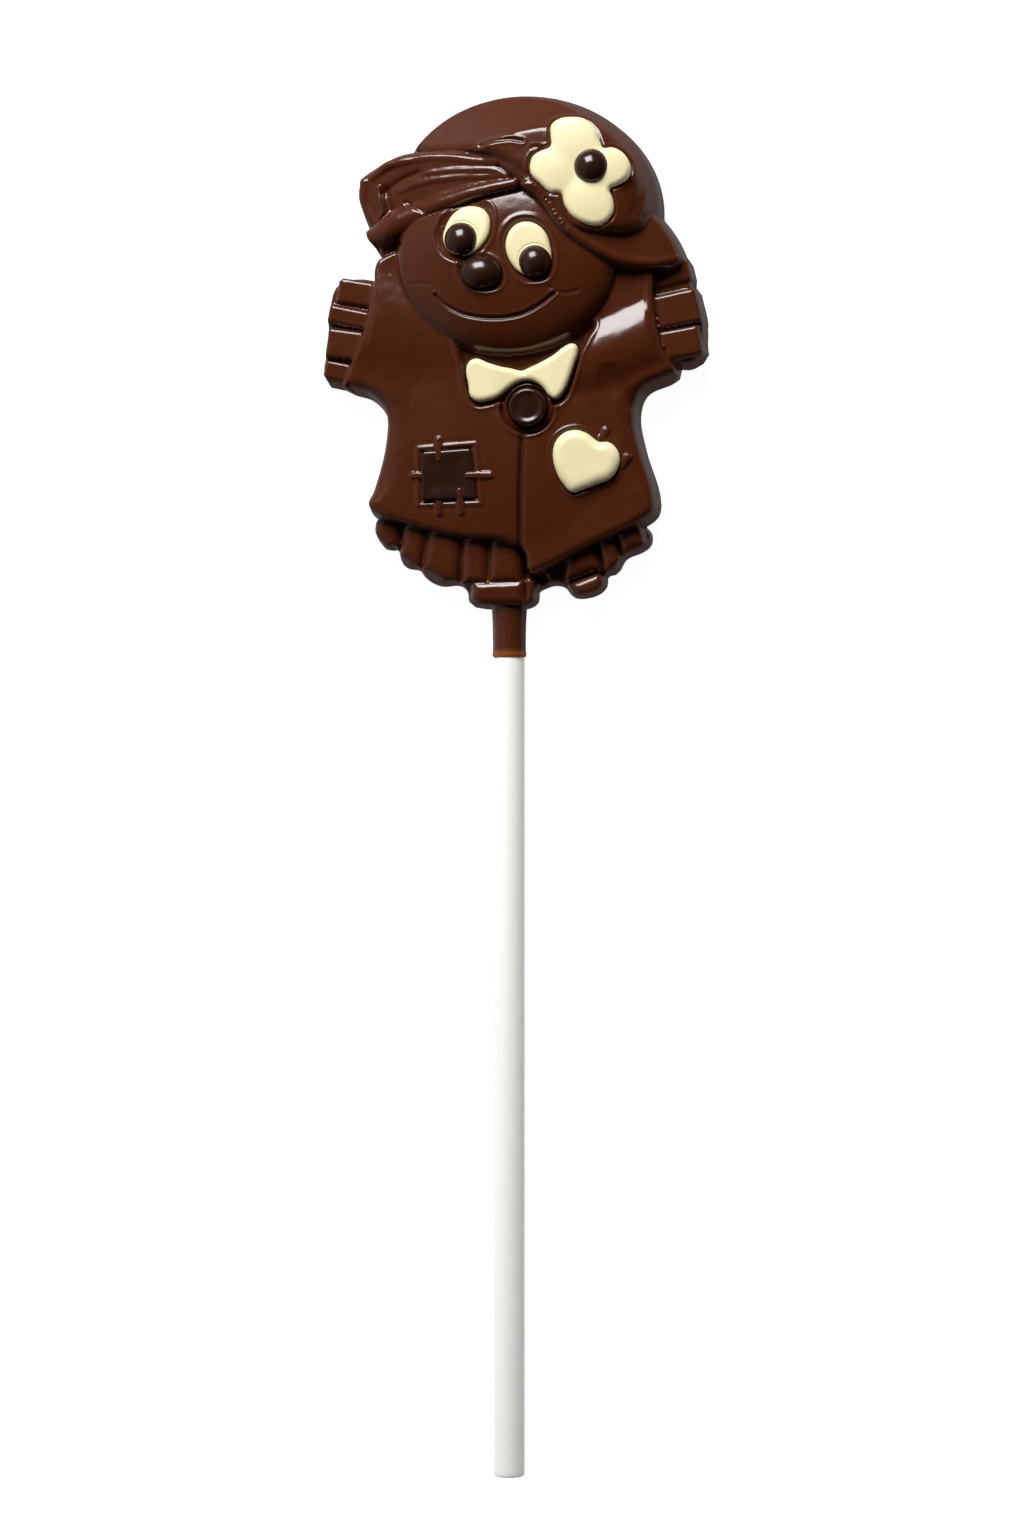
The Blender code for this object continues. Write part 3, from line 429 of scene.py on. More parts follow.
outlines = {name: smoothLine(points, closed=True) for name, points in {
    "coat": [
        (-19.0, 13.9), (-20.0, 12.3), (-20.2, 8.7), (-21.7, 2.3), (-24.5, -3.8), (-24.6, -5.0), (-23.6, -5.8),
        (-20.5, -6.9), (-18.5, -9.2), (-18.4, -13.0), (-20.2, -20.3), (-21.1, -22.6), (-20.2, -24.2),
        (-14.9, -26.3), (-6.8, -28.3), (0.8, -29.4), (2.1, -30.4), (2.4, -32.6), (3.6, -33.6), (5.7, -33.0),
        (12.3, -29.7), (19.5, -26.2), (21.9, -24.4), (22.3, -22.4), (20.1, -14.5), (19.3, -9.6), (20.3, -6.6),
        (24.4, -4.6), (25.4, -3.6), (25.0, -2.2), (23.2, 0.4), (22.2, 4.9), (22.2, 10.7), (20.5, 13.9)],
    "neck": [
        (-7.3, 2.2), (-7.0, 0.2), (-6.4, -2.1), (-5.9, -5.4), (-5.3, -7.3), (-4.2, -8.5), (-2.3, -8.4),
        (-0.6, -8.0), (3.3, -9.6), (6.4, -8.1), (7.3, -8.5), (8.6, -7.8), (9.6, -6.1), (10.5, -3.4),
        (11.2, -0.8), (12.1, 1.2), (13.0, 3.6), (3.0, 6.0)],
    "leftHand": [(-25.2, 10.4), (-27.0, 5.7), (-27.1, 0.8), (-27.6, -3.4), (-24.5, -5.0), (-20.0, -1.0),
                 (-18.0, 9.6)],
    "rightHand": [(22.0, 12.6), (26.2, 12.3), (27.3, 9.5), (28.9, 5.6), (29.1, 0.4), (28.6, -1.6),
                  (26.0, -2.8), (21.5, 0.0)],
    "fringe": [
        (-19.6, -24.4), (-20.2, -26.4), (-19.8, -27.5), (-18.1, -29.2), (-16.9, -29.1), (-16.5, -30.0),
        (-16.3, -30.9), (-15.3, -31.8), (-13.5, -32.2), (-12.9, -33.0), (-11.8, -33.9), (-10.2, -34.5),
        (-7.4, -34.5), (-6.5, -35.3), (-6.3, -36.6), (-5.9, -37.4), (-4.7, -37.7), (-3.3, -37.9),
        (2.5, -37.9), (3.8, -37.3), (4.3, -36.4), (4.3, -35.5), (5.5, -34.8), (6.6, -34.5), (8.1, -34.8),
        (8.7, -35.5), (9.3, -36.2), (11.7, -36.3), (13.6, -35.5), (14.4, -34.4), (14.5, -33.3), (16.0, -32.7),
        (16.6, -31.6), (17.2, -30.7), (19.8, -29.5), (20.9, -28.5), (20.6, -26.3), (0.0, -22.0)],
    "lock": [(-19.0, 16.0), (-18.9, 13.0), (-17.6, 11.8), (-15.6, 12.2), (-14.8, 14.0), (-15.2, 16.2)],
    "leftHair": [(-18.4, 12.6), (-15.0, 12.6), (-14.0, 9.0), (-15.6, 7.0), (-18.0, 9.4)],
    "rightHair": [(13.0, 12.0), (18.6, 12.6), (20.0, 11.2), (17.4, 8.0), (15.2, 6.4), (13.4, 7.6)],
    "crownArea": [
        (-13.8, 29.4), (-9.2, 28.6), (-4.6, 28.2), (-0.4, 26.8), (1.5, 25.5), (4.5, 23.2), (6.8, 20.5),
        (8.9, 17.9), (10.4, 16.7), (13.9, 16.2), (19.7, 16.4), (21.8, 17.3), (25.0, 19.3), (27.0, 25.0),
        (16.0, 39.0), (-8.0, 40.0), (-20.0, 34.0)],
    "visor": [
        (1.2, 23.2), (4.4, 19.8), (7.2, 16.7), (10.0, 14.6), (14.0, 12.4), (18.2, 10.7), (22.0, 10.4),
        (25.4, 10.9), (26.4, 12.5), (25.8, 14.6), (24.4, 17.2), (22.2, 19.8), (17.0, 22.5), (9.0, 24.5),
        (4.0, 25.5)],
    "fold": [
        (-3.5, 29.0), (-9.0, 29.6), (-15.4, 29.2), (-20.0, 27.1), (-21.9, 25.6), (-22.3, 23.6), (-21.4, 20.5),
        (-20.9, 17.8), (-20.2, 15.8), (-18.5, 14.7), (-15.8, 14.9), (-13.2, 17.1), (-9.6, 20.0), (-4.0, 22.0),
        (2.0, 22.8), (2.4, 25.0)],
    "leftSocket": [(-10.1, 15.3), (-9.8, 17.5), (-8.6, 19.5), (-7.0, 20.8), (-5.1, 21.4), (-3.1, 21.2),
                   (-1.6, 20.1), (-1.2, 18.1), (-1.6, 15.5), (-2.8, 13.8), (-4.6, 12.2), (-6.6, 11.9),
                   (-8.8, 12.9)],
    "rightSocket": [(-0.3, 14.6), (0.1, 16.6), (1.3, 18.1), (3.1, 18.6), (5.1, 18.2), (6.7, 16.5),
                    (7.7, 13.9), (7.6, 11.0), (6.6, 9.3), (4.7, 8.8), (2.8, 9.1), (1.0, 11.1), (0.0, 13.0)],
    "noseSocket": [(-6.7, 10.9), (-6.0, 12.8), (-4.1, 13.2), (-1.9, 12.8), (-0.3, 11.6), (0.4, 9.8),
                   (-0.3, 8.2), (-2.2, 7.6), (-4.5, 8.0), (-6.1, 9.4)]}.items()}
# fingers: centre, length, width, turn, top
fingers = [
    ((-22.2, 8.5), 7.0, 5.0, -9.0, 6.6), ((-23.4, 4.9), 7.4, 4.1, -12.0, 7.0),
    ((-23.7, 0.8), 7.2, 5.8, -8.0, 7.2), ((-24.7, -3.1), 6.0, 4.2, -12.0, 6.6),
    ((23.7, 10.6), 7.4, 4.6, 14.0, 6.4), ((25.0, 5.5), 7.6, 6.3, 12.0, 7.0),
    ((25.5, 0.5), 7.2, 5.7, 10.0, 7.2)]
# lobes of the fringe, boot and collar: top, level face
lobes = [
    (6.1, [(-18.9, -22.6), (-15.9, -23.6), (-16.5, -29.1), (-17.4, -29.1), (-19.3, -27.0)]),
    (6.4, [(-14.9, -23.8), (-11.5, -24.8), (-13.1, -31.9), (-15.5, -30.0)]),
    (6.6, [(-11.1, -25.2), (-6.9, -26.2), (-7.6, -33.7), (-9.2, -33.7), (-12.2, -32.0)]),
    (6.5, [(-6.3, -26.4), (-3.0, -26.8), (-3.3, -34.0), (-6.5, -34.2)]),
    (6.5, [(-2.2, -26.8), (1.6, -27.2), (1.8, -34.0), (-2.5, -34.0)]),
    (5.0, [(5.2, -32.6), (7.4, -31.2), (8.0, -34.0), (6.4, -34.2)]),
    (6.2, [(8.4, -29.8), (12.6, -28.0), (13.3, -32.0), (8.8, -33.7)]),
    (6.2, [(13.5, -27.8), (15.0, -27.2), (16.3, -31.0), (14.7, -32.3)]),
    (6.1, [(15.9, -26.8), (18.9, -25.2), (19.8, -28.5), (17.2, -29.8)]),
    (5.6, [(9.5, -34.6), (10.2, -35.9), (12.1, -35.9), (13.5, -35.0), (13.8, -33.8), (13.2, -33.2)]),
    (6.4, [(-4.8, -34.4), (-4.9, -36.3), (-4.0, -37.0), (0.4, -37.2), (2.1, -37.0), (2.2, -34.2)]),
    (5.4, [(3.0, -33.8), (4.0, -34.1), (3.9, -36.4), (3.0, -37.0)])]
# beads: x, y, height of the axis, radius
beads = {
    "cuffs": [
        [(-23.6, -5.0, 7.3, 0.5), (-20.9, 0.9, 7.9, 0.7), (-19.7, 5.0, 7.8, 0.7), (-19.4, 9.0, 7.5, 0.6)],
        [(24.2, -3.4, 7.3, 0.5), (22.5, -1.2, 7.8, 0.7), (21.5, 2.2, 8.2, 0.7), (20.9, 6.0, 7.8, 0.7),
         (20.8, 9.6, 7.5, 0.6)]],
    "collar": [
        [(-16.9, 10.6, 7.9, 0.4), (-15.4, 7.6, 7.95, 0.5), (-13.4, 4.4, 8.0, 0.55), (-10.9, 1.9, 8.1, 0.55),
         (-8.3, 0.1, 8.1, 0.5), (-6.6, -0.9, 8.0, 0.4)]],
    "visorEdge": [
        [(-4.2, 28.2, 10.5, 0.4), (-2.2, 27.4, 11.0, 0.6), (-0.4, 26.7, 11.4, 0.7), (1.5, 25.4, 11.6, 0.9),
         (4.4, 22.9, 11.7, 0.9), (6.6, 20.2, 11.7, 0.9), (8.7, 17.5, 11.7, 0.9), (10.5, 15.9, 11.5, 0.9),
         (13.9, 13.8, 10.8, 0.9), (16.8, 12.5, 10.0, 0.9), (21.1, 12.0, 8.9, 0.8), (24.8, 12.6, 7.8, 0.6)]],
    "folds": [
        [(-19.6, 25.3, 7.1, 0.7), (-17.3, 26.8, 7.9, 0.7), (-13.7, 27.5, 8.4, 0.7), (-9.3, 27.7, 9.2, 0.7),
         (-4.2, 26.9, 10.4, 0.7), (-0.9, 26.6, 11.4, 0.6)],
        [(-11.7, 25.4, 9.0, 0.35), (-8.7, 25.6, 9.6, 0.5), (-5.0, 25.6, 10.4, 0.5), (-1.1, 25.3, 11.2, 0.5),
         (0.5, 24.4, 11.4, 0.5)],
        [(-15.6, 22.9, 8.1, 0.4), (-12.5, 24.0, 8.8, 0.55), (-7.2, 24.6, 9.9, 0.55), (-0.5, 24.5, 11.1, 0.5)],
        [(-13.2, 20.9, 8.2, 0.5), (-9.5, 22.0, 9.1, 0.6), (-5.0, 23.2, 10.2, 0.55), (-0.5, 23.6, 11.2, 0.5)],
        [(-20.9, 24.6, 6.8, 0.8), (-21.0, 22.4, 6.7, 0.8), (-20.2, 20.0, 6.8, 0.8), (-19.6, 18.6, 7.0, 0.7)],
        [(-18.7, 23.6, 8.2, 0.3), (-18.4, 21.9, 8.4, 0.35), (-18.0, 20.0, 8.4, 0.35),
         (-19.0, 18.8, 7.8, 0.3)]],
    "roll": [
        [(-19.6, 16.4, 6.6, 1.5), (-18.0, 17.1, 7.2, 2.0), (-15.5, 18.3, 7.8, 2.1), (-12.8, 19.5, 8.4, 1.8),
         (-9.2, 20.8, 9.7, 1.3), (-5.0, 22.1, 10.7, 1.0), (-1.0, 22.9, 11.4, 0.9), (1.6, 23.4, 11.6, 0.8)]],
}
# grooves: line, width, depth, lip
grooves = [
    ([(-9.9, 7.4), (-8.4, 5.9), (-5.6, 4.5), (-1.2, 3.9), (2.6, 4.4), (5.4, 5.8), (7.5, 7.4)],
     0.28, 0.45, 0.12),
    ([(-14.1, 9.2), (-10.7, 8.9), (-9.5, 7.7)], 0.3, 0.1, 0.03),
    ([(6.8, 8.3), (9.0, 7.4), (10.9, 7.9)], 0.3, 0.14, 0.05),
    ([(2.6, -12.2), (2.3, -17.9), (2.2, -22.3), (2.1, -29.4)], 0.36, 0.95, 0.08),
    ([(-3.3, 28.8), (-1.7, 29.3), (-0.3, 29.5), (1.2, 29.6), (2.9, 29.3)], 0.25, 0.28, 0.1),
    ([(4.4, 28.35), (6.7, 28.3)], 0.3, 0.15, 0.05),
    ([(-17.6, 23.4), (-17.5, 21.9), (-17.0, 20.4)], 0.6, 0.45, 0.0),
    ([(-14.6, 21.4), (-11.9, 19.7)], 0.3, 0.35, 0.04),
    ([(15.1, -4.1), (16.3, -5.9), (18.5, -7.8)], 1.4, 0.35, 0.0),
    ([(20.3, 25.0), (20.1, 22.0), (18.9, 19.0)], 0.6, 0.22, 0.0),
    ([(21.4, 23.6), (21.2, 21.0), (20.2, 18.6)], 0.5, 0.18, 0.0),
    ([(-12.6, 25.6), (-15.6, 24.4), (-17.8, 22.9)], 0.5, 0.35, 0.05),
]
# stitches: two ends; bubbles: x, y, radius
stitches = [((-9.8, -13.5), (-9.8, -16.2)), ((-13.5, -18.6), (-11.4, -18.6)), ((-5.5, -18.7), (-2.2, -18.7)),
            ((-9.8, -20.9), (-9.8, -24.0)), ((-6.7, -20.9), (-6.5, -24.0)), ((13.9, -13.9), (14.7, -12.3)),
            ((16.9, -17.5), (17.9, -16.1))]
bubbles = [(4.6, 22.9, 0.28), (5.3, 22.2, 0.3), (6.3, 21.0, 0.33), (7.0, 20.0, 0.25), (7.6, 18.9, 0.3),
           (8.6, 17.6, 0.3), (-5.6, 12.45, 0.3), (-8.8, 16.8, 0.35), (9.6, 16.4, 0.22), (3.6, 23.9, 0.22)]
patchRim = np.array([(-12.9, -14.7), (-4.3, -14.1), (-3.4, -22.8), (-12.9, -22.9), (-12.9, -14.7)])


def blockLoop(shape):
    # a turned rectangle whose corners are quarter circles
    (cx, cy), long, wide, turn, top = shape
    r = casting["fingerCorner"]
    a = np.radians(np.array([0, 30, 60, 90, 90, 120, 150, 180, 180, 210, 240, 270, 270, 300, 330, 360]))
    corner = np.repeat(np.array([(1, 1), (-1, 1), (-1, -1), (1, -1)]), 4, axis=0)
    px, py = corner[:, 0] * (long / 2 - r) + r * np.cos(a), corner[:, 1] * (wide / 2 - r) + r * np.sin(a)
    c, s = math.cos(math.radians(turn)), math.sin(math.radians(turn))
    return np.stack([cx + px * c - py * s, cy + px * s + py * c], 1)


fingerLoops = [blockLoop(shape) for shape in fingers]
lobeLoops = [np.array(face) for top, face in lobes]
crownLevel = ovalLoop(*casting["crownLevel"])
crownFoot, faceFoot = [ovalLoop(form["centre"], [r + form["rim"] * lean for r in form["radii"]])
                       for form in (casting["crown"], casting["face"])]
onTheBack = ("coat", "leftHand", "rightHand", "fringe", "lock", "visor", "fold")
standing = [outlines[name] for name in onTheBack] + fingerLoops + [faceFoot]


def footprint(x, y):
    # distance inside the union of everything that stands on the back; the crown counts above y = 12
    d = np.full(x.shape, -9.0)
    for loop in standing:
        spot = near(x, y, loop, 1.6)
        d[spot] = softMax(d[spot], insideOf(x[spot], y[spot], loop), 0.25)
    spot = y > 12
    px, py = x[spot], y[spot]
    crown = np.minimum(insideOf(px, py, crownFoot), insideOf(px, py, outlines["crownArea"]) + 1.0)
    d[spot] = softMax(d[spot], crown, 0.25)
    return d


def plane(x, y, form):
    # height + slopes times the distance from a place
    return form[0] + form[3] * (x - form[1]) + form[4] * (y - form[2])


def coatFront(x, y):
    # a plate, the chest's dome, and sleeves: top - fall d2, d from the sleeve's ridge
    z = np.full(x.shape, casting["coatTop"])
    z = softMax(z, domed(x, y, casting["chest"]), 0.5)
    for ridge, top, fall in casting["sleeves"]:
        z = softMax(z, top - fall * nearLine(x, y, np.array(ridge))[0] ** 2, 0.4)
    return z


def crownTop(x, y):
    # the lowest of a top that sags as r2, a flank that falls away from the level oval, and a dome
    form = casting["crown"]
    r = np.hypot((x - form["centre"][0]) / form["radii"][0], (y - form["centre"][1]) / form["radii"][1])
    sag, start, fall = casting["crownFlank"]
    flank = form["top"] + start + fall * np.minimum(insideOf(x, y, crownLevel), 1.0)
    return softMin(softMin(form["top"] - sag * r**2, flank, 0.3), domed(x, y, form), 0.4)


def addHat(z, x, y):
    # join the lock, both parts of the brim, the crown and the beads of the folds
    form = outlines
    raiseLoop(z, x, y, form["lock"], casting["lockTop"], 0.5, 0.5)
    raiseLoop(z, x, y, form["fold"], lambda px, py: plane(px, py, casting["fold"]), 1.3, 1.2)
    spot = near(x, y, form["visor"], 1.0)
    px, py = x[spot], y[spot]
    visor = walled(insideOf(px, py, form["visor"]), plane(px, py, casting["visor"]), 1.6, 1.7)
    z[spot] = softMax(z[spot], visor, 0.15)
    spot = y > 12
    px, py = x[spot], y[spot]
    crown = edged(insideOf(px, py, form["crownArea"]), crownTop(px, py), 1.5, 1.3)
    z[spot] = softMax(z[spot], crown, 0.2)
    for kind, soft, rough in (("folds", 0.5, 0.06), ("roll", 0.3, 0.02), ("visorEdge", 0.4, 0.04)):
        for path in beads[kind]:
            raiseRoll(z, x, y, path, soft, rough)


def addFace(z, x, y):
    # join a dome that dips under the brim, with a lipped socket for each eye and the nose
    deep, start, slope = casting["faceDip"]
    face = domed(x, y, casting["face"]) - deep * ramp(y - start - slope * x, 0, 1)
    lip, hollow = casting["socket"]
    for name in ("leftSocket", "rightSocket", "noseSocket"):
        spot = near(x, y, outlines[name], 1.2)
        d = insideOf(x[spot], y[spot], outlines[name])
        face[spot] += lip * bump(d + 0.15, 0.28) - hollow * ramp(d, 0.05, 0.75)
    z[:] = softMax(z, face, 0.12)


def sinkInlays(z, x, y):
    # round each inlay a narrow groove, with a low lip where it has one, and under it a pocket
    groove, pocket = casting["inlay"]
    for name, loop, lip in inlayLoops:
        spot = near(x, y, loop, 1.2)
        d = insideOf(x[spot], y[spot], loop)
        z[spot] += lip * bump(d + 0.5, 0.25) - groove * bump(d + 0.05, 0.22) - pocket * ramp(d, 0.05, 0.5)


def castingHeight(x, y):
    # the coat, then what is raised from it or stands beside it, then grooves and marks, then waviness
    z = np.full(x.shape, -1.0)
    side, arm, shoulder = ramp(y, -25, -19), ramp(y, -9, -5), ramp(y, 6.5, 9)
    spot = near(x, y, outlines["coat"], 1.0)
    px, py = x[spot], y[spot]
    wide, high = [form[0] + form[1] * side[spot] + form[2] * arm[spot] + form[3] * shoulder[spot]
                  for form in casting["coatRound"]]
    z[spot] = walled(insideOf(px, py, outlines["coat"]), coatFront(px, py), wide, high)
    for path in beads["collar"] + beads["cuffs"]:
        raiseRoll(z, x, y, path, 0.35)
    spot = near(x, y, outlines["neck"], 1.5)
    d = insideOf(x[spot], y[spot], outlines["neck"])
    z[spot] += casting["neckLip"] * bump(d + 0.45, 0.28)
    z[spot] += (casting["neckFloor"] - z[spot]) * ramp(d, -0.15, 0.35)
    for name, top in (("leftHand", "handTop"), ("rightHand", "handTop"), ("fringe", "fringeTop")):
        raiseLoop(z, x, y, outlines[name], casting[top], 0.6, 0.5)
    for shape, loop in zip(fingers, fingerLoops):
        raiseLoop(z, x, y, loop, shape[4], *casting["fingerRound"], 0.5)
    for (top, face), loop in zip(lobes, lobeLoops):
        # a lobe rounds off beyond its level face, inside the fringe's outline
        spot = near(x, y, loop, 1.6)
        px, py = x[spot], y[spot]
        half = insideOf(*np.mean(loop, 0).reshape(2, 1), loop)[0]  # half the face's width
        wide = min(casting["lobeRound"][0], half + 0.3)
        beyond = edged(insideOf(px, py, loop) + 0.45, top, wide, wide * casting["lobeRound"][1])
        foot = walled(insideOf(px, py, outlines["fringe"]), top + 0.3, 0.7, 0.6)
        z[spot] = softMax(z[spot], softMin(beyond, foot, 0.3), 0.15)
    for name in ("leftHair", "rightHair"):
        raiseLoop(z, x, y, outlines[name], casting["hairTop"], 0.5, 0.5)
    addFace(z, x, y)
    addHat(z, x, y)
    for line, wide, deep, lip in grooves:
        crease(z, x, y, line, wide, deep, lip)
    far = np.hypot(x - button["centre"][0], y - button["centre"][1])
    ring, lip = button["ring"], button["lip"]
    z += (button["dishFloor"] - z) * ramp(far, *button["dish"])
    z += ring[1] * bump(far - ring[0], 0.3) + lip[1] * bump(far - lip[0], 0.3) * (y < lip[2])
    sinkInlays(z, x, y)
    rim = nearLine(x, y, patchRim)[0]
    raised, sunk = casting["patchRim"]
    z += raised * bump(rim, 0.3) - sunk * bump(rim - 0.7, 0.3)
    thick, under, notch = casting["stitch"]
    for a, b in stitches:
        front = coatFront(np.array([a[0], b[0]]), np.array([a[1], b[1]]))
        line = np.array([(*a, front[0] - under, thick), (*b, front[1] - under, thick)])
        spot = near(x, y, line, 1.2)
        d, axis, radius = nearLine(x[spot], y[spot], line)
        z[spot] = softMax(z[spot], rolled(d, axis, radius), 0.15) - notch * bump(d, 0.16)
    raised, sunk = casting["bubble"]
    for bx, by, radius in bubbles:
        far = np.hypot(x - bx, y - by)
        z += raised * bump(far - radius, 0.13) - sunk * bump(far, radius * 0.7)
    return z + casting["uneven"] * (waves(x, y, 6.0) + 0.5 * waves(x, y, 2.2, key=3)) * ramp(z, 0.5, 2.0)


button = {
    "centre": (3.3, -8.8), "radius": 2.85, "floor": 6.2,
    "profile": [(0, 9.55), (0.9, 9.53), (1.7, 9.55), (2.05, 9.68), (2.35, 9.72), (2.62, 9.55), (2.81, 9.15),
                (2.85, 8.7)],
    # dish round it: floor, and radii of its wall; ring and lip: radius and height, the lip below y = -6
    "dishFloor": 7.3, "dish": (4.1, 3.75), "ring": (3.35, 0.9), "lip": (4.25, 0.2, -6)}
flower = {
    "rise": 0.1, "swell": 0.36, "floor": 9.2, "edge": (0.8, 0.75), "dome": ((10.5, 24.0), 8.0, 0.15),
    "petals": [((10.6, 29.0), 3.9), ((15.5, 25.3), 3.4), ((12.6, 20.5), 3.9), ((7.2, 25.0), 3.6)],
    "outline": [
        (9.7, 32.7), (11.9, 32.4), (13.5, 30.9), (14.2, 29.0), (14.7, 28.1), (15.9, 28.2), (17.6, 27.3),
        (18.6, 25.5), (18.2, 23.8), (16.8, 22.7), (15.7, 22.1), (16.1, 20.7), (16.2, 18.9), (15.3, 17.5),
        (13.9, 16.9), (12.0, 17.2), (10.1, 18.3), (9.0, 20.0), (8.5, 21.5), (7.0, 21.7), (5.5, 23.0),
        (4.2, 24.4), (4.0, 25.9), (4.5, 27.2), (5.7, 27.9), (7.0, 28.5), (7.0, 29.9), (7.1, 31.6),
        (8.3, 32.5)]}
eyes = {
    "rise": 0.35, "edge": (0.9, 0.7), "floor": 9.3, "dip": 0.1,
    "left": [(-8.4, 17.3), (-7.5, 18.9), (-6.2, 19.9), (-4.5, 20.2), (-3.0, 19.8), (-2.1, 18.8), (-1.8, 17.5),
             (-2.1, 15.7), (-3.0, 14.3), (-3.8, 13.6), (-4.8, 13.1), (-6.1, 13.0), (-7.6, 13.4), (-8.5, 14.5),
             (-8.8, 15.8)],
    "right": [(0.4, 14.5), (0.8, 16.1), (1.8, 17.3), (3.3, 17.8), (4.9, 17.4), (6.2, 16.2), (6.9, 14.3),
              (7.1, 12.4), (6.5, 10.8), (5.1, 9.9), (3.5, 10.0), (2.4, 10.4), (1.1, 11.9), (0.5, 13.4)]}
ballFoot = 9.7  # height of every ball's foot, inside its pocket
balls = {  # centre, half axes, top, bulge, tilt
    "pupil_left": ((-6.1, 15.45), (2.45, 2.45), 13.9, 2.2, (0.05, -0.12)),
    "pupil_right": ((4.65, 12.05), (2.4, 2.4), 14.0, 2.2, (0.0, -0.08)),
    "nose": ((-3.15, 10.5), (3.1, 2.45), 14.0, 2.0, (0.0, -0.05)),
    "flower_centre": ((12.95, 25.5), (2.58, 2.58), 14.9, 2.3, (0.0, -0.06))}
bow = {
    "top": 9.0, "edge": (0.9, 0.8), "floor": 6.2, "knot": (2.6, -3.6), "swell": 0.35, "pinch": 0.25,
    "outline": [
        (-5.7, -2.8), (-5.1, -1.9), (-4.2, -1.6), (-2.6, -2.2), (-0.7, -2.8), (0.9, -3.1), (2.4, -3.4),
        (3.7, -2.9), (5.3, -2.2), (7.1, -1.2), (8.4, -0.2), (9.6, 0.4), (10.4, 0.2), (10.7, -0.6),
        (10.0, -3.1), (9.1, -5.6), (8.4, -6.9), (7.4, -7.7), (6.5, -7.3), (5.6, -6.1), (4.4, -5.2),
        (3.1, -4.9), (1.7, -5.3), (0.3, -6.3), (-0.8, -7.2), (-2.4, -7.8), (-4.2, -7.9), (-5.1, -7.2),
        (-5.4, -5.6)]}
heart = {
    "top": 9.9, "edge": (1.5, 1.1), "floor": 6.8,
    "outline": [
        (9.8, -21.3), (8.5, -20.1), (7.5, -18.3), (7.0, -16.0), (7.3, -14.1), (8.5, -12.7), (10.3, -12.2),
        (12.0, -12.7), (13.3, -13.7), (13.9, -14.0), (15.1, -14.0), (16.2, -14.8), (16.8, -16.2),
        (16.5, -17.8), (15.5, -19.3), (13.6, -20.1), (11.7, -20.8)]}
patch = {
    "top": 8.95, "edge": (0.4, 0.3), "floor": 6.8, "hollow": 0.12,
    "outline": [(-12.3, -15.2), (-4.9, -14.7), (-4.1, -22.1), (-12.3, -22.3)]}
# the inlays' outlines, and the height of the lip round each
inlayLoops = [(name, smoothLine(points, closed=True, perSpan=span), lip) for name, points, span, lip in (
    ("flower", flower["outline"], 4, 0.1), ("eye_white_left", eyes["left"], 4, 0.0),
    ("eye_white_right", eyes["right"], 4, 0.0), ("bow_tie", bow["outline"], 4, 0.0),
    ("heart", heart["outline"], 4, 0.16), ("patch", patch["outline"], 1, 0.0))]
loopOf = {name: loop for name, loop, lip in inlayLoops}

reach = casting["grid"] * np.round(np.array([-30, 31, -40, 40]) / casting["grid"])  # whole steps of the grid
figureMesh = castMesh("figure", footprint, castingHeight, reach, casting["grid"], casting["rings"], 0.0)
addPiece("figure_casting", figureMesh, milkChocolate, "milk_chocolate", "figure")
print("casting made:", len(figureMesh.polygons), "faces")


# white and dark pieces set into the casting

def flowerHeight(x, y):
    # petals swell as 1 - (r / R)2 over a slight dome, and the outline is rounded off
    swell = np.full(x.shape, -0.3)
    for centre, radius in flower["petals"]:
        r = np.hypot(x - centre[0], y - centre[1]) / radius
        swell = softMax(swell, flower["swell"] * (1 - r**2), 0.2)
    middle, wide, sag = flower["dome"]
    r = np.hypot(x - middle[0], y - middle[1]) / wide
    z = casting["crown"]["top"] - sag * r**2 + flower["rise"] + np.maximum(swell, -0.1)
    return edged(insideOf(x, y, loopOf["flower"]), z, *flower["edge"])


def eyeHeight(side):
    # the face's dome, a little higher, with a slight dip round the pupil
    centre, radii = balls["pupil_" + side][:2]

    def height(x, y):
        far = np.hypot(x - centre[0], y - centre[1])
        z = domed(x, y, casting["face"]) + eyes["rise"] - eyes["dip"] * bump(far - radii[0], 0.15)
        return edged(insideOf(x, y, loopOf["eye_white_" + side]), z, *eyes["edge"])
    return height


def flatHeight(name, form, hollow=0.0):
    # a nearly level top, rounded off at the outline, and lower in the middle by the hollow
    def height(x, y):
        d = insideOf(x, y, loopOf[name])
        top = form["top"] + 0.02 * waves(x, y, 3.0, key=7) - hollow * ramp(d, 0.6, 2.2)
        return edged(d, top, *form["edge"])
    return height


def bowHeight(x, y):
    # two wings that swell away from a pinched knot
    across, along = x - bow["knot"][0], y - bow["knot"][1]
    knot = bump(np.hypot(across, along), 0.7)
    z = bow["top"] + bow["swell"] * ramp(np.abs(across), 1.0, 4.5) - bow["pinch"] * knot
    return edged(insideOf(x, y, loopOf["bow_tie"]), z, *bow["edge"])


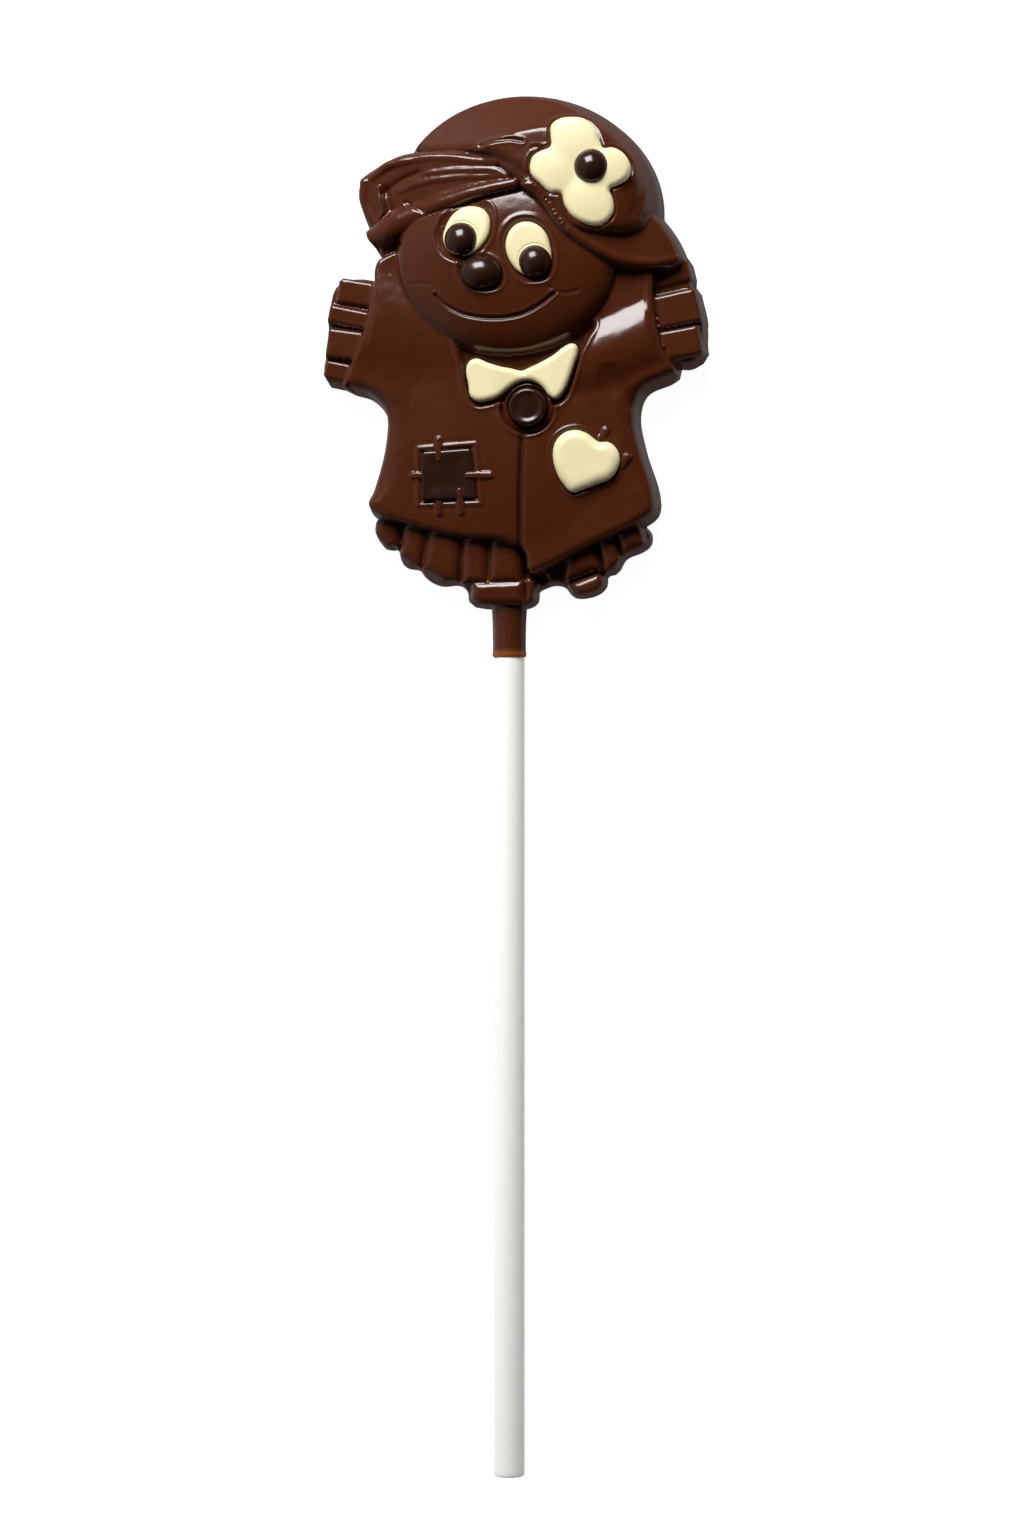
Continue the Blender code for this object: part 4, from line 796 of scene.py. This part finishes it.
fineCast = {"grid": 0.12, "rings": (0.3, 0.2, 0.12, 0.06, 0.02, 0.0), "backLift": 0.02}
insets = (  # name, height, chocolate, slot, floor
    ("flower", flowerHeight, whiteChocolate, "white_chocolate", flower["floor"]),
    ("eye_white_left", eyeHeight("left"), whiteChocolate, "white_chocolate", eyes["floor"]),
    ("eye_white_right", eyeHeight("right"), whiteChocolate, "white_chocolate", eyes["floor"]),
    ("bow_tie", bowHeight, whiteChocolate, "white_chocolate", bow["floor"]),
    ("heart", flatHeight("heart", heart), whiteChocolate, "white_chocolate", heart["floor"]),
    ("patch", flatHeight("patch", patch, patch["hollow"]), darkChocolate, "dark_chocolate", patch["floor"]),
)
for name, height, material, slot, floorHeight in insets:
    loop = loopOf[name]
    low, high = loop.min(0) - 0.3, loop.max(0) + 0.3
    box = (low[0], high[0], low[1], high[1])
    mesh = castMesh(name, lambda px, py, loop=loop: insideOf(px, py, loop), height, box, fineCast["grid"],
                    fineCast["rings"], floorHeight, fineCast["backLift"])
    addPiece(name + "_inset", mesh, material, slot, name)
print("white pieces and patch set in")

for name, (centre, radii, top, bulge, tilt) in balls.items():
    # a half ellipse cap, then a straight wall into the pocket
    a = np.linspace(0, np.pi / 2, 18)
    cap = np.stack([radii[0] * np.sin(a), top - bulge * (1 - np.cos(a))], 1)
    profile = np.vstack([cap, [(radii[0], ballFoot), (0, ballFoot)]])
    mesh = turnedMesh(name, profile, centre, radii[1] / radii[0], tilt=tilt)
    addPiece(name + "_ball", mesh, darkChocolate, "dark_chocolate", name)
rim = smoothLine(button["profile"], perSpan=4)
profile = np.vstack([rim, [(button["radius"], button["floor"]), (0, button["floor"])]])
mesh = turnedMesh("button", profile, button["centre"])
addPiece("button_disc", mesh, darkChocolate, "dark_chocolate", "button")
print("balls and button set in")


# stick and the chocolate round its top

stick = {"radius": 2.25, "end": -165.7, "length": 150.0, "height": 2.7, "soft": 0.25}
neck = {
    "buried": -31.0,
    "profile": [
        (2.28, -45.1), (2.42, -45.0), (2.5, -44.7), (2.44, -44.1), (2.44, -42.0), (2.5, -39.5), (2.64, -37.6),
        (2.75, -36.0)]}


def layAlong(mesh, height):
    # turn the upright profile down along the stick: (x, y, z) becomes (x, z, height - y)
    count = len(mesh.vertices)
    flat = np.empty(count * 3)
    mesh.vertices.foreach_get("co", flat)
    p = flat.reshape(-1, 3)
    p = np.stack([p[:, 0], p[:, 2], height * mm - p[:, 1]], 1)
    mesh.vertices.foreach_set("co", p.ravel())
    mesh.update()
    return mesh


r, soft, low, far = stick["radius"], stick["soft"], stick["end"], stick["end"] + stick["length"]
arc = np.linspace(0, np.pi / 2, 5)
bottom = np.stack([r - soft + soft * np.sin(arc), low + soft - soft * np.cos(arc)], 1)
top = bottom[::-1] * (1, -1) + (0, low + far)
profile = np.vstack([[(0, low)], bottom, [(r, low + 1), (r, far - 1)], top, [(0, far)]])
mesh = layAlong(turnedMesh("stick", profile, (0, 0)), stick["height"])
addPiece("paper_stick", mesh, rolledPaper, "paper", "stick")
line = smoothLine(neck["profile"], perSpan=4)
profile = np.vstack([[(0, line[0, 1])], line, [(line[-1, 0], neck["buried"]), (0, neck["buried"])]])
mesh = layAlong(turnedMesh("neck", profile, (0, 0)), stick["height"])
addPiece("neck_of_chocolate", mesh, thinChocolate, "milk_chocolate", "figure")
print("stick and neck made")


# floor, light and camera

studio = {
    # the table: colour, own light, half its side in m, height in mm
    "floor": "808080", "glow": 0.97, "floorSide": 3.0, "floorHeight": -0.02,
    # the room: part of the direction, from and to, and the strength at each
    "walls": ("Z", -0.4, 0.12, 0.6, 0.015), "nearSide": ("Y", -0.5, 0.3, 0.25, 1.0),
    "under": ("Z", -0.95, -0.2, 0.3, 1.0), "leftPanel": ("X", -0.8, -0.2, 0.26, 0.0),
    # the softbox: W, side in m, its direction from the figure, distance in m, where it points in mm
    "key": 7.2, "keySize": 0.34, "keyWay": (-0.2, 0.72, 0.66), "keyFar": 0.62, "keyAim": (0.0, 5.0, 5.0),
}
# the camera: lens and sensor in mm, turn in degrees, distance in m, where it points in mm
view = {"lens": 85.0, "sensor": 36.0, "turn": 6.0, "far": 0.5375, "aim": (0.1, -61.4, 0.0)}

side, level = studio["floorSide"], studio["floorHeight"] * mm
floorMesh = bpy.data.meshes.new("floor")
corners = [(-side, -side, level), (side, -side, level), (side, side, level), (-side, side, level)]
floorMesh.from_pydata(corners, [], [(0, 1, 2, 3)])
floor = bpy.data.objects.new("floor", floorMesh)
bpy.context.scene.collection.objects.link(floor)
board = bpy.data.materials.new("opal_acrylic")  # a shooting table of opal acrylic, lit from below
board.use_nodes = True
opal = board.node_tree.nodes["Principled BSDF"]
for name, value in (
        ("Base Color", linearOf(studio["floor"])), ("Roughness", 0.9),
        ("Emission Color", (1, 1, 1, 1)), ("Emission Strength", studio["glow"])):
    opal.inputs[name].default_value = value
floorMesh.materials.append(board)
floor.visible_glossy = False  # the table is hidden from glossy rays, which keeps its glare out of the gloss

# a white room with a dark ceiling: its strength falls with height, towards the near side and far below,
# and a dim white panel on the left adds to it
world = bpy.data.worlds.new("studio")
bpy.context.scene.world = world
world.use_nodes = True
room = world.node_tree
direction = addNode(room, "ShaderNodeTexCoord").outputs["Generated"]
axes = addNode(room, "ShaderNodeSeparateXYZ", {"Vector": direction}).outputs
fades = {}
for name in ("walls", "nearSide", "under", "leftPanel"):
    axis, low, high, first, last = studio[name]
    fades[name] = addNode(room, "ShaderNodeMapRange", {
        "Value": axes[axis], "From Min": low, "From Max": high, "To Min": first, "To Max": last},
        interpolation_type="SMOOTHSTEP").outputs["Result"]
share = addNode(room, "ShaderNodeMath", {0: fades["nearSide"], 1: fades["under"]}, operation="MULTIPLY")
lit = addNode(room, "ShaderNodeMath", {0: fades["walls"], 1: share.outputs["Value"]}, operation="MULTIPLY")
strength = addNode(room, "ShaderNodeMath", {0: lit.outputs["Value"], 1: fades["leftPanel"]}, operation="ADD")
sky = room.nodes["Background"]
sky.inputs["Color"].default_value = (1, 1, 1, 1)
room.links.new(strength.outputs["Value"], sky.inputs["Strength"])

# one softbox above the hat, turned towards the figure
way = np.array(studio["keyWay"]) / np.linalg.norm(studio["keyWay"])
key = bpy.data.lights.new("softbox", "AREA")
key.shape = "SQUARE"
key.size = studio["keySize"]
key.energy = studio["key"]
keyObject = bpy.data.objects.new("softbox", key)
bpy.context.scene.collection.objects.link(keyObject)
keyObject.location = np.array(studio["keyAim"]) * mm + way * studio["keyFar"]
keyObject.rotation_euler = (math.acos(way[2]), 0, math.atan2(way[0], -way[1]))

turn = math.radians(view["turn"])
lens = bpy.data.cameras.new("camera")
lens.lens, lens.sensor_width, lens.clip_start = view["lens"], view["sensor"], 0.01
camera = bpy.data.objects.new("camera", lens)
bpy.context.scene.collection.objects.link(camera)
camera.location = np.array(view["aim"]) * mm + np.array([math.sin(turn), 0, math.cos(turn)]) * view["far"]
camera.rotation_euler = (0, turn, 0)
bpy.context.scene.camera = camera
bpy.context.scene.view_settings.view_transform = "Standard"

print("stage set")
